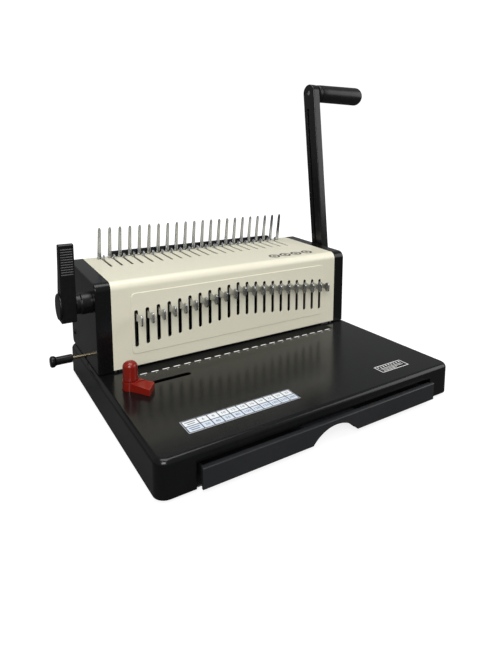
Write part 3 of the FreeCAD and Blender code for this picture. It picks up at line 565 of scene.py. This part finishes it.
FINISHES: dict[str, Finish] = {
    "black_enamel": Finish("black_enamel", (0.0034, 0.0036, 0.0040), (0.009, 0.009, 0.0095), 0.35,
                           roughness=0.20, spread=0.05, wave=34, grain=420, grain_share=0.25, relief=0.012,
                           specular=0.36),
    "cream_enamel": Finish("cream_enamel", (0.80, 0.770, 0.615), (0.76, 0.725, 0.565), 0.3, roughness=0.26,
                           spread=0.05, wave=120, grain=900, grain_share=0.35, relief=0.025, coat=0.2,
                           coat_roughness=0.18),
    "zinc_steel": Finish("zinc_steel", (0.42, 0.42, 0.43), (0.28, 0.28, 0.29), 0.4, roughness=0.38,
                         spread=0.2, relief=0.1, metallic=1.0, brushed=True),
    "tool_steel": Finish("tool_steel", (0.30, 0.30, 0.31), (0.18, 0.18, 0.19), 0.4, roughness=0.36,
                         spread=0.2, relief=0.1, metallic=1.0, brushed=True),
    "dark_steel": Finish("dark_steel", (0.030, 0.030, 0.031), (0.055, 0.052, 0.048), 0.5, slow=40,
                         roughness=0.48, spread=0.2, relief=0.1, metallic=0.6, brushed=True),
    "nickel_tabs": Finish("nickel_tabs", (0.58, 0.59, 0.60), (0.26, 0.26, 0.26), 0.55, slow=70, fine=900,
                          roughness=0.24, spread=0.22, relief=0.12, metallic=1.0, brushed=True),
    "nickel_fingers": Finish("nickel_fingers", (0.54, 0.555, 0.59), (0.27, 0.275, 0.29), 0.5, slow=60,
                             fine=800, roughness=0.24, spread=0.22, relief=0.12, metallic=1.0, brushed=True),
    "spring_steel": Finish("spring_steel", (0.38, 0.38, 0.39), (0.24, 0.24, 0.24), 0.3, roughness=0.3,
                           metallic=1.0, relief=0.05),
    "bolt_zinc": Finish("bolt_zinc", (0.45, 0.45, 0.46), (0.3, 0.3, 0.29), 0.4, slow=120, roughness=0.3,
                        metallic=1.0, relief=0.08),
    "bronze": Finish("bronze", (0.42, 0.28, 0.14), (0.25, 0.17, 0.09), 0.4, roughness=0.45, metallic=1.0),
    "brass_rod": Finish("brass_rod", (0.36, 0.30, 0.20), (0.20, 0.16, 0.11), 0.5, slow=90, roughness=0.28,
                        spread=0.2, relief=0.1, metallic=1.0, brushed=True),
    "handle_black": Finish("handle_black", (0.0045, 0.0045, 0.0048), (0.013, 0.013, 0.013), 0.4,
                           roughness=0.22, spread=0.06, wave=150, grain=1100, grain_share=0.6,
                           relief=0.05, specular=0.40),
    "grip_plastic": Finish("grip_plastic", (0.0065, 0.0065, 0.0068), (0.015, 0.015, 0.015), 0.4, slow=30,
                           roughness=0.34, spread=0.1, wave=180, grain=1400, grain_share=0.9, relief=0.10,
                           specular=0.38),
    "lever_plastic": Finish("lever_plastic", (0.0030, 0.0030, 0.0032), (0.009, 0.009, 0.009), 0.45, slow=40,
                            roughness=0.30, spread=0.1, wave=260, grain=1700, grain_share=1.0, relief=0.05,
                            specular=0.4),
    # grey much lighter than the black lever: a painted highlight along each thumb rib, not the plastic's own
    # colour
    "rib_painted_highlight": Finish("rib_painted_highlight", (0.075, 0.075, 0.078), (0.11, 0.11, 0.11), 0.4, slow=200, roughness=0.16,
                        spread=0.05, grain=1500, relief=0.02, coat=0.5, coat_roughness=0.06),
    "drawer_plastic": Finish("drawer_plastic", (0.0185, 0.0195, 0.0210), (0.032, 0.032, 0.034), 0.4, slow=20,
                             roughness=0.30, spread=0.07, wave=90, grain=1200, grain_share=0.6, relief=0.05),
    "red_plastic": Finish("red_plastic", (0.215, 0.0105, 0.0045), (0.14, 0.007, 0.0035), 0.5, slow=50,
                          roughness=0.20, spread=0.06, wave=70, grain=900, grain_share=0.2, relief=0.03,
                          specular=0.35, coat=0.2, coat_roughness=0.10),
    "rubber": Finish("rubber", (0.012, 0.012, 0.012), (0.035, 0.034, 0.032), 0.5, slow=60, roughness=0.75,
                     grain=1600, grain_share=1.0, relief=0.25),
    "label": Finish("label", (0.82, 0.84, 0.86), (0.74, 0.77, 0.80), 0.25, slow=40, roughness=0.36,
                    wave=80, grain=1400, relief=0.03),
}
INK_BLUE = Finish("table_ink", (0.012, 0.022, 0.055), (0.03, 0.05, 0.10), 0.4, slow=200, roughness=0.5,
                  relief=0.02)
TINT_BLUE = Finish("table_tint", (0.64, 0.71, 0.80), (0.68, 0.74, 0.82), 0.3, slow=120, roughness=0.42,
                   relief=0.02)
INK_WHITE = Finish("mark_white", (0.88, 0.88, 0.87), (0.62, 0.62, 0.61), 0.35, slow=200, roughness=0.45,
                   relief=0.02)
# near-black matte band on the base's top: painted shade of the dark throat under the cover's front, not ink
SHADE_BLACK = Finish("painted_shade_black", (0.0022, 0.0022, 0.0023), (0.005, 0.005, 0.005), 0.3, slow=40,
                   roughness=0.62, spread=0.08, specular=0.15, grain=900, relief=0.02)
INK_DARK = Finish("mark_dark", (0.010, 0.010, 0.0095), (0.025, 0.025, 0.023), 0.4, slow=200, roughness=0.45,
                  relief=0.02)


def dress(piece: bpy.types.Object, finish: Finish) -> None:
    """Give a piece one finish all over.

    Args:
        piece: The mesh object.
        finish: The finish.
    """
    piece.data.materials.clear()
    piece.data.materials.append(finish.material())


# ---- the machine ----
@dataclass
class Places:
    """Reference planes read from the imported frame."""

    middle_x: float
    cover_y: float
    base_top: float
    cover_slope: float
    cover_front: float
    slots: dict[str, str] = field(default_factory=dict)

    @classmethod
    def from_frame(cls, record: dict) -> "Places":
        """Read the planes and each node's material slot.

        Args:
            record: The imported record.

        Returns:
            The places.
        """
        base_low, base_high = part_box("base_pan")
        slots = {part["node"]: part["material_slot"] for part in record["subparts"]}
        cap_low, cap_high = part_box("right_end_cap")
        cover_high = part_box("front_cover")[1]
        slope = (cap_high.z - cover_high.z) / (cap_high.y - cover_high.y)
        front = cap_high.z - slope * (cap_high.y - cap_low.y)
        return cls((base_low.x + base_high.x) / 2, cap_low.y, base_high.z, slope, front, slots)

    def at(self, x: float, y: float, z: float) -> Vector:
        """Point from millimetres off the middle plane, the cover's face and the table."""
        return Vector((self.middle_x + x * MM, self.cover_y + y * MM, z * MM))

    def cover_top(self, y: float) -> float:
        """Height of the cover's top face, y millimetres behind its front."""
        return self.cover_front + self.cover_slope * y * MM


@dataclass
class RefinedNodes:
    """CAD shapes that are kept, with their edges rounded."""

    places: Places
    widths: dict[str, tuple[float, int]] = field(default_factory=lambda: {
        "base_pan": (0.5 * MM, 2), "front_cover": (0.35 * MM, 2), "left_end_cap": (0.7 * MM, 3),
        "right_end_cap": (0.7 * MM, 3), "rear_panel": (0.3 * MM, 1), "rear_rail": (0.5 * MM, 2),
        "chip_drawer": (0.5 * MM, 2), "handle_arm": (0.8 * MM, 3), "comb_lever": (0.5 * MM, 2),
        "lever_cap": (0.4 * MM, 2), "lever_boss": (0.4 * MM, 2), "guide_lever": (0.8 * MM, 3),
        "guide_post": (0.4 * MM, 2), "margin_knob": (0.5 * MM, 2), "margin_rod": (0.2 * MM, 1),
        "die_plate": (0.2 * MM, 1), "punch_guide": (0.2 * MM, 1), "bottom_plate": (0.3 * MM, 1),
        "comb_fingers": (0.25 * MM, 2), "comb_hooks": (0.2 * MM, 1), "opener_shaft": (0.2 * MM, 1),
        "handle_bolts": (0.4 * MM, 2), "hook_plate": (0.15 * MM, 1)})
    darker: dict[str, str] = field(default_factory=lambda: {"hook_plate": "dark_steel"})

    def build(self) -> None:
        """Round each shape's edges and give it its finish."""
        for node, (width, segments) in self.widths.items():
            piece = refined(node, node + "_finished", width, segments)
            dress(piece, FINISHES[self.darker.get(node, self.places.slots[node])])
            LOG.info("%s: %d faces", piece.name, len(piece.data.polygons))


@dataclass
class PullTabs:
    """Flat metal tabs in the front slots."""

    places: Places
    edge: float = 0.35 * MM

    def build(self) -> None:
        """Round each tab's edges."""
        for node in sorted(n for n in self.places.slots if n.startswith("pull_tab_")):
            piece = refined(node, node + "_finished", self.edge, 2)
            dress(piece, FINISHES["nickel_tabs"])
        LOG.info("pull tabs finished")


@dataclass
class HandGrip:
    """Turned plastic grip at the end of the handle."""

    collar: float = 5.0 * MM
    groove: float = 0.9 * MM
    dome: float = 12.0 * MM
    clearance: float = 0.02 * MM
    neck_step: float = 1.1 * MM
    swell_start: float = 2.4 * MM
    swell_step: float = 0.2 * MM
    swell_rings: int = 8
    dome_rings: int = 12
    smooth_degrees: float = 50

    def build(self) -> None:
        """Turn the grip with its collar, its slight swell and a domed end."""
        low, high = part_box("hand_grip")
        length, radius = high.x - low.x, (high.z - low.z) / 2 - self.clearance
        neck = radius - self.neck_step
        profile = [(0, neck - 2.2 * MM), (0.5 * MM, neck - 0.9 * MM), (1.3 * MM, neck - 0.3 * MM),
                   (self.collar - 0.6 * MM, neck), (self.collar, neck - 0.4 * MM),
                   (self.collar + 0.3 * MM, neck - self.groove), (self.collar + 1.1 * MM, neck - self.groove),
                   (self.collar + 1.4 * MM, neck - 0.1 * MM),
                   (self.collar + self.swell_start, neck + self.swell_step)]
        straight = length - self.dome
        for step in range(1, self.swell_rings + 1):
            share = step / self.swell_rings
            along = self.collar + self.swell_start + share * (straight - self.collar - self.swell_start)
            profile.append((along, neck + self.swell_step + share * (radius - neck - self.swell_step)))
        for step in range(1, self.dome_rings):
            turn = step / self.dome_rings * math.pi / 2
            profile.append((straight + self.dome * math.sin(turn), radius * math.cos(turn)))
        middle = Vector((low.x, (low.y + high.y) / 2, (low.z + high.z) / 2))
        piece = turned("hand_grip_finished", middle, Axis.X, profile, 72)
        pick(piece)
        bpy.ops.object.shade_smooth_by_angle(angle=math.radians(self.smooth_degrees))
        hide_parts("hand_grip")
        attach(piece, "grip")
        dress(piece, FINISHES["grip_plastic"])
        LOG.info("hand grip turned")


@dataclass
class Fasteners:
    """Cross-head screws of the end caps and the rear panel."""

    dome: float = 0.45 * MM
    slot_width: float = 1.0 * MM
    slot_reach: float = 0.62
    slot_depth: float = 0.5
    sides: int = 32

    def build(self) -> None:
        """Model each screw where its CAD solid is."""
        screws = [self.screw(low, high) for low, high in solids_of("panel_screws")]
        piece = join(screws, "panel_screws_finished")
        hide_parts("panel_screws")
        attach(piece, "base")
        dress(piece, FINISHES["handle_black"])
        LOG.info("%d panel screws", len(screws))

    def screw(self, low: Vector, high: Vector) -> bpy.types.Object:
        """A pan head with a cross cut into it.

        Args:
            low: Lowest corner of its solid.
            high: Highest corner.

        Returns:
            The screw's head.
        """
        size, middle = high - low, (low + high) / 2
        sideways = size.x < size.y
        length, radius = (size.x, size.z / 2) if sideways else (size.y, size.z / 2)
        if sideways and middle.x < 0:
            axis, foot = Axis.MINUS_X, Vector((high.x, middle.y, middle.z))
        elif sideways:
            axis, foot = Axis.X, Vector((low.x, middle.y, middle.z))
        else:
            axis, foot = Axis.Y, Vector((middle.x, low.y, middle.z))
        edge = length - self.dome
        profile = [(0.0, radius * 0.94), (0.15 * MM, radius * 0.995), (edge * 0.6, radius * 0.98),
                   (edge, radius * 0.82), (length - 0.12 * MM, radius * 0.5),
                   (length - 0.05 * MM, radius * 0.12)]
        head = turned("screw", foot, axis, profile, self.sides)
        tip = foot + Euler(axis.value).to_matrix() @ Vector((0, 0, length))
        reach, half, deep = radius * self.slot_reach, self.slot_width / 2, length * self.slot_depth
        flat = Vector((deep, reach, half)) if sideways else Vector((reach, deep, half))
        upright = Vector((deep, half, reach)) if sideways else Vector((half, deep, reach))
        for span in (upright, flat):
            tool = block(tip - span, tip + span)
            apply_modifier(head, "BOOLEAN", operation="DIFFERENCE", object=tool, solver="EXACT")
            bpy.data.objects.remove(tool)
        soften(head, 0)
        return head


@dataclass
class RubberFeet:
    """Round feet under the base, each with the recess of its screw."""

    recess: float = 1.6 * MM
    hole: float = 2.6 * MM
    lip: float = 0.7 * MM
    rounding: float = 0.2 * MM
    sole_step: float = 1.0 * MM
    sides: int = 48

    def build(self) -> None:
        """Turn each foot where its CAD solid is."""
        feet = []
        for low, high in solids_of("rubber_feet"):
            radius, height = (high.x - low.x) / 2, high.z - low.z
            sole = radius - self.sole_step
            profile = [(self.recess, self.hole), (self.rounding, self.hole), (0.0, self.hole + 0.3 * MM),
                       (0.0, sole - self.lip), (self.rounding, sole - self.rounding), (self.lip, sole),
                       (height - 0.6 * MM, radius - 0.15 * MM), (height, radius - 0.02 * MM)]
            middle = Vector(((low.x + high.x) / 2, (low.y + high.y) / 2, low.z))
            foot = turned("foot", middle, Axis.Z, profile, self.sides)
            soften(foot, 0)
            feet.append(foot)
        piece = join(feet, "rubber_feet_finished")
        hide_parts("rubber_feet")
        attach(piece, "base")
        dress(piece, FINISHES["rubber"])
        LOG.info("%d feet turned", len(feet))


@dataclass
class LeverRibs:
    """Raised thumb ribs on the front of the opener's lever, in a grey much lighter than the lever that paints
    the highlight along each rib.
    """

    count: int = 11
    pitch: float = 2.9 * MM
    height: float = 1.2 * MM
    proud: float = 0.55 * MM
    side_gap: float = 1.6 * MM
    top_gap: float = 5.0 * MM
    rounding: float = 0.4 * MM

    def build(self) -> None:
        """Model one rib, round it and copy it down the lever."""
        low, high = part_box("comb_lever")
        top = high.z - self.top_gap
        first = block(Vector((low.x + self.side_gap, low.y - self.proud, top - self.height)),
                      Vector((high.x - self.side_gap, low.y + self.proud, top)))
        soften(first, self.rounding, 3)
        ribs = [first] + [copy_of(first, Vector((0, 0, -n * self.pitch))) for n in range(1, self.count)]
        piece = join(ribs, "lever_ribs")
        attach(piece, "opener")
        # the ribs' light grey is a painted highlight on the black plastic
        dress(piece, FINISHES["rib_painted_highlight"])
        LOG.info("%d ribs on the lever", self.count)


@dataclass
class PrintedMarks:
    """Flat print on the base and on the cover, and a black band of painted shade under the paper scale. Sizes
    are in millimetres.
    """

    places: Places
    holes: int = 21
    pitch: float = 14.2875
    bar_length: float = 8.6
    bar_width: float = 1.9
    bar_line: float = -20.5
    digit_line: float = -25.6
    digit_size: float = 3.1
    columns: int = 10
    first_column: float = 16.0
    first_lines: tuple[tuple[float, float], ...] = ((0.17, 9.0), (0.33, 11.0), (0.67, 8.0), (0.83, 11.0))
    table_digits: float = 5.4
    table_edge: float = 0.9
    rule: float = 1.1
    # gap and margin of the black band of painted shade under the paper scale
    band_gap: float = 0.4
    band_margin: float = 8
    sign_middle: tuple[float, float] = (124.5, -162.0)
    sign_size: tuple[float, float] = (44.0, 15.0)
    sign_line: float = 1.0
    sign_inset: float = 4
    sign_holes: int = 9
    ring_row: tuple[float, ...] = (76.9, 96.3, 116.3, 136.6)
    ring_middle: float = 24.2
    ring_radius: float = 8.6
    ring_line: float = 3.0
    dot_radius: float = 2.8
    lift: float = 0.04

    def mark(self, x: float, y: float, wide: float, deep: float, level: float) -> bpy.types.Object:
        """A thin printed bar on a level face.

        Args:
            x: Middle of the bar.
            y: Middle of the bar.
            wide: Size along X.
            deep: Size along Y.
            level: Height of the face, in metres.

        Returns:
            The bar.
        """
        low = self.places.at(x - wide / 2, y - deep / 2, 0)
        high = self.places.at(x + wide / 2, y + deep / 2, 0)
        low.z, high.z = level, level + self.lift * MM
        return block(low, high)

    def number(self, text: str, size: float, x: float, y: float, level: float) -> bpy.types.Object:
        """Digits lying on a level face."""
        return lettering(text, size * MM, self.places.at(x, y, 0) + Vector((0, 0, level + self.lift * MM)))

    def finish(self, pieces: list[bpy.types.Object], name: str, ink: Finish) -> None:
        """Join the marks of one colour and give them their finish.

        Args:
            pieces: The marks.
            name: Name of the result.
            ink: Finish of the marks; for the band under the paper scale it is painted shade.
        """
        piece = join(pieces, name)
        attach(piece, "base")
        dress(piece, ink)
        LOG.info("%s printed", name)

    def build(self) -> None:
        """Print the paper scale on its band of painted shade, the table of sizes, the sheet sign and the
        cover's marks.
        """
        self.paper_scale()
        self.size_table()
        self.sheet_sign()
        self.cover_marks()

    def paper_scale(self) -> None:
        """Row of short bars in front of the punch, each with its number, on a black band of painted shade
        that stands for the dark throat under the cover.
        """
        level = self.places.base_top
        # black band in front of the punch: painted shade of the throat under the cover's front edge
        middle, deep = (self.bar_line - self.band_gap) / 2, -self.band_gap - self.bar_line
        band = self.mark(0.0, middle, self.holes * self.pitch + self.band_margin, deep, level)
        self.finish([band], "paper_scale_band", SHADE_BLACK)
        level += self.lift * MM
        pieces = []
        for k in range(self.holes):
            x = (k - (self.holes - 1) / 2) * self.pitch
            pieces.append(self.mark(x, self.bar_line, self.bar_length, self.bar_width, level))
            pieces.append(self.number(str(k + 1), self.digit_size, x, self.digit_line, level))
        self.finish(pieces, "paper_scale_marks", INK_WHITE)

    def size_table(self) -> None:
        """Ruled table of comb widths and sheet numbers, its lower row tinted."""
        low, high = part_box("size_table")
        level = high.z
        x0 = (low.x - self.places.middle_x) / MM + self.table_edge
        y0 = (low.y - self.places.cover_y) / MM + self.table_edge
        wide = (high.x - low.x) / MM - 2 * self.table_edge
        deep = (high.y - low.y) / MM - 2 * self.table_edge
        cell = (wide - self.first_column) / self.columns
        starts = [0.0] + [self.first_column + n * cell for n in range(self.columns + 1)]
        tint = self.mark(x0 + wide / 2, y0 + deep / 4, wide, deep / 2, level)
        self.finish([tint], "size_table_tint", TINT_BLUE)
        level += self.lift * MM
        pieces = [self.mark(x0 + x, y0 + deep / 2, self.rule, deep + self.rule, level) for x in starts]
        pieces += [self.mark(x0 + wide / 2, y0 + share * deep, wide, self.rule, level)
                   for share in (0, 0.5, 1)]
        middles = [self.first_column + (n + 0.5) * cell for n in range(self.columns)]
        widths = (6, 8, 10, 12, 14, 16, 19, 22, 25, 32)
        sheets = (20, 40, 55, 80, 100, 120, 150, 180, 210, 280)
        for row, values in ((0.25, sheets), (0.75, widths)):
            for x, value in zip(middles, values):
                pieces.append(self.number(str(value), self.table_digits, x0 + x, y0 + row * deep, level))
        for row, length in self.first_lines:
            pieces.append(self.mark(x0 + self.first_column / 2, y0 + row * deep, length, 1.1, level))
        self.finish(pieces, "size_table_print", INK_BLUE)

    def sheet_sign(self) -> None:
        """Small sign of a punched sheet, at the front right of the base."""
        level = self.places.base_top
        x, y = self.sign_middle
        wide, deep = self.sign_size
        line, left, inner = self.sign_line, x - wide / 2 + self.sign_inset, wide - 2 * self.sign_inset
        pieces = [self.mark(x, y + side * deep / 2, wide, line, level) for side in (-1, 1)]
        pieces += [self.mark(x + side * wide / 2, y, line, deep + line, level) for side in (-1, 1)]
        for k in range(self.sign_holes):
            step = k * inner / (self.sign_holes - 1)
            pieces.append(self.mark(left + step, y + deep / 2 - 3.2, 1.8, 2.4, level))
        for k, share in enumerate((1.0, 1.0, 0.62)):
            length = inner * share
            pieces.append(self.mark(left + length / 2, y + 0.6 - 2.7 * k, length, 0.8, level))
        self.finish(pieces, "sheet_sign", INK_WHITE)

    def cover_marks(self) -> None:
        """Four ring signs at the right end of the cover's top."""
        pieces = []
        for x in self.ring_row:
            pieces += [self.ring(x, self.ring_middle, self.ring_radius, self.ring_line),
                       self.ring(x, self.ring_middle, self.dot_radius, self.dot_radius)]
        self.finish(pieces, "ring_signs", INK_DARK)

    def ring(self, x: float, y: float, radius: float, line: float) -> bpy.types.Object:
        """A flat ring lying on the cover's sloping top.

        Args:
            x: Middle.
            y: Middle.
            radius: Outer radius.
            line: Width of the line; the whole radius gives a dot.

        Returns:
            The ring.
        """
        place = self.places.at(x, y, 0)
        place.z = self.places.cover_top(y) + self.lift * MM
        clear_selection()
        bpy.ops.mesh.primitive_circle_add(vertices=40, radius=radius * MM, fill_type="NGON", location=place,
                                          rotation=(math.atan(self.places.cover_slope), 0, 0))
        piece = settle(bpy.context.active_object)
        if line < radius:
            with editing(piece):
                bpy.ops.mesh.inset(thickness=line * MM)
                bpy.ops.mesh.delete(type="FACE")
        return piece


@dataclass(frozen=True)
class Lamp:
    """A square soft light, placed in millimetres like the machine's parts."""

    name: str
    place: tuple[float, float, float]
    size: float
    power: float


@dataclass
class Studio:
    """Floor, lights and camera. The key light is at the front left, the fill at the right, one on top."""

    places: Places
    lamps: tuple[Lamp, ...] = (Lamp("key_light", (-1000, -1500, 1200), 1.0, 27.5),
                               Lamp("fill_light", (1500, -900, 900), 1.2, 10),
                               Lamp("top_light", (-100, -100, 1900), 1.3, 19))
    lit_point: tuple[float, float, float] = (0, 20, 100)
    eye: tuple[float, float, float] = (-330.5, -561.5, 299.2)
    yaw: float = 32.056
    pitch: float = 8.114
    lens: float = 26.56
    shift: float = -0.163
    sensor: float = 36
    room: float = 0.25
    white: float = 1.05
    floor_near: float = 0.80
    floor_fade: tuple[float, float] = (0.35, 1.4)

    def build(self) -> None:
        """Set up the stage."""
        self.floor()
        self.world()
        for lamp in self.lamps:
            self.light(lamp)
        self.camera()

    def floor(self) -> None:
        """Wide pale floor at the feet, dim to what mirrors it."""
        clear_selection()
        bpy.ops.mesh.primitive_plane_add(size=16, location=(0, 0, -0.0002))
        floor = settle(bpy.context.active_object)
        floor.name = "studio_floor"
        paper = bpy.data.materials.new("floor_paper")
        paper.use_nodes = True
        tree = paper.node_tree
        shown = tree.nodes["Principled BSDF"]
        fill(shown, {"Base Color": (0.35, 0.35, 0.35, 1), "Roughness": 0.9, "Specular IOR Level": 0.0,
                     "Emission Color": (1, 1, 1, 1)})
        place = tree.nodes.new("ShaderNodeTexCoord").outputs["Object"]
        reach = tree.nodes.new("ShaderNodeVectorMath")
        reach.operation = "LENGTH"
        tree.links.new(place, reach.inputs[0])
        glow = tree.nodes.new("ShaderNodeMapRange")
        fill(glow, {"From Min": self.floor_fade[0], "From Max": self.floor_fade[1],
                    "To Min": self.floor_near, "To Max": self.white})
        tree.links.new(reach.outputs["Value"], glow.inputs["Value"])
        tree.links.new(glow.outputs["Result"], shown.inputs["Emission Strength"])
        dim = tree.nodes.new("ShaderNodeBsdfDiffuse")
        fill(dim, {"Color": (0.10, 0.10, 0.10, 1)})
        self.by_ray(tree, dim.outputs["BSDF"], shown.outputs["BSDF"], tree.nodes["Material Output"])
        floor.data.materials.append(paper)

    def by_ray(self, tree: bpy.types.NodeTree, others: bpy.types.NodeSocket, seen: bpy.types.NodeSocket,
               out: bpy.types.Node) -> None:
        """Use one shader where it is seen directly and another for every other ray.

        Args:
            tree: The node tree.
            others: Shader for every other ray.
            seen: Shader where it is seen directly.
            out: The output node.
        """
        path = tree.nodes.new("ShaderNodeLightPath")
        mix = tree.nodes.new("ShaderNodeMixShader")
        tree.links.new(path.outputs["Is Camera Ray"], mix.inputs["Fac"])
        tree.links.new(others, mix.inputs[1])
        tree.links.new(seen, mix.inputs[2])
        tree.links.new(mix.outputs["Shader"], out.inputs["Surface"])

    def world(self) -> None:
        """White surround that lights the machine as a dim grey room."""
        world = bpy.data.worlds.new("studio")
        bpy.context.scene.world = world
        world.use_nodes = True
        tree = world.node_tree
        seen = tree.nodes["Background"]
        fill(seen, {"Color": (1, 1, 1, 1), "Strength": self.white})
        room = tree.nodes.new("ShaderNodeBackground")
        fill(room, {"Color": (0.98, 0.99, 1, 1), "Strength": self.room})
        self.by_ray(tree, room.outputs["Background"], seen.outputs["Background"], tree.nodes["World Output"])

    def light(self, lamp: Lamp) -> None:
        """Add one light that faces the lit point.

        Args:
            lamp: Its name, place, size and power.
        """
        data = bpy.data.lights.new(lamp.name, "AREA")
        data.shape = "SQUARE"
        data.size = lamp.size
        data.energy = lamp.power
        light = bpy.data.objects.new(lamp.name, data)
        bpy.context.scene.collection.objects.link(light)
        place = self.places.at(*lamp.place)
        light.location = place
        light.rotation_euler = (self.places.at(*self.lit_point) - place).to_track_quat("-Z", "Y").to_euler()

    def camera(self) -> None:
        """Camera placed from the machine's own reference planes."""
        data = bpy.data.cameras.new("camera")
        data.lens = self.lens
        data.sensor_width = self.sensor
        data.shift_y = self.shift
        data.clip_end = 50
        camera = bpy.data.objects.new("camera", data)
        bpy.context.scene.collection.objects.link(camera)
        camera.location = self.places.at(*self.eye)
        camera.rotation_euler = (math.radians(90 - self.pitch), 0, -math.radians(self.yaw))
        bpy.context.scene.camera = camera
        bpy.context.scene.view_settings.view_transform = "Standard"


def dress_frame(nodes: dict[str, bpy.types.Object], places: Places) -> None:
    """Give each CAD node that stays visible its slot's finish.

    Args:
        nodes: The CAD nodes by name.
        places: Reference places with the slots.
    """
    for name, node in nodes.items():
        node.data.materials.clear()
        node.data.materials.append(FINISHES[places.slots[name]].material())


def main() -> None:
    """Build the machine's looks and the studio."""
    logging.basicConfig(level=logging.INFO, format="%(name)s: %(message)s")
    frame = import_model()
    clear_selection()
    tone_group()
    skin_group()
    brushed_group()
    places = Places.from_frame(frame["record"])
    dress_frame(frame["nodes"], places)
    RefinedNodes(places).build()
    PullTabs(places).build()
    HandGrip().build()
    Fasteners().build()
    RubberFeet().build()
    LeverRibs().build()
    PrintedMarks(places).build()
    Studio(places).build()


if __name__ == "__main__":
    main()
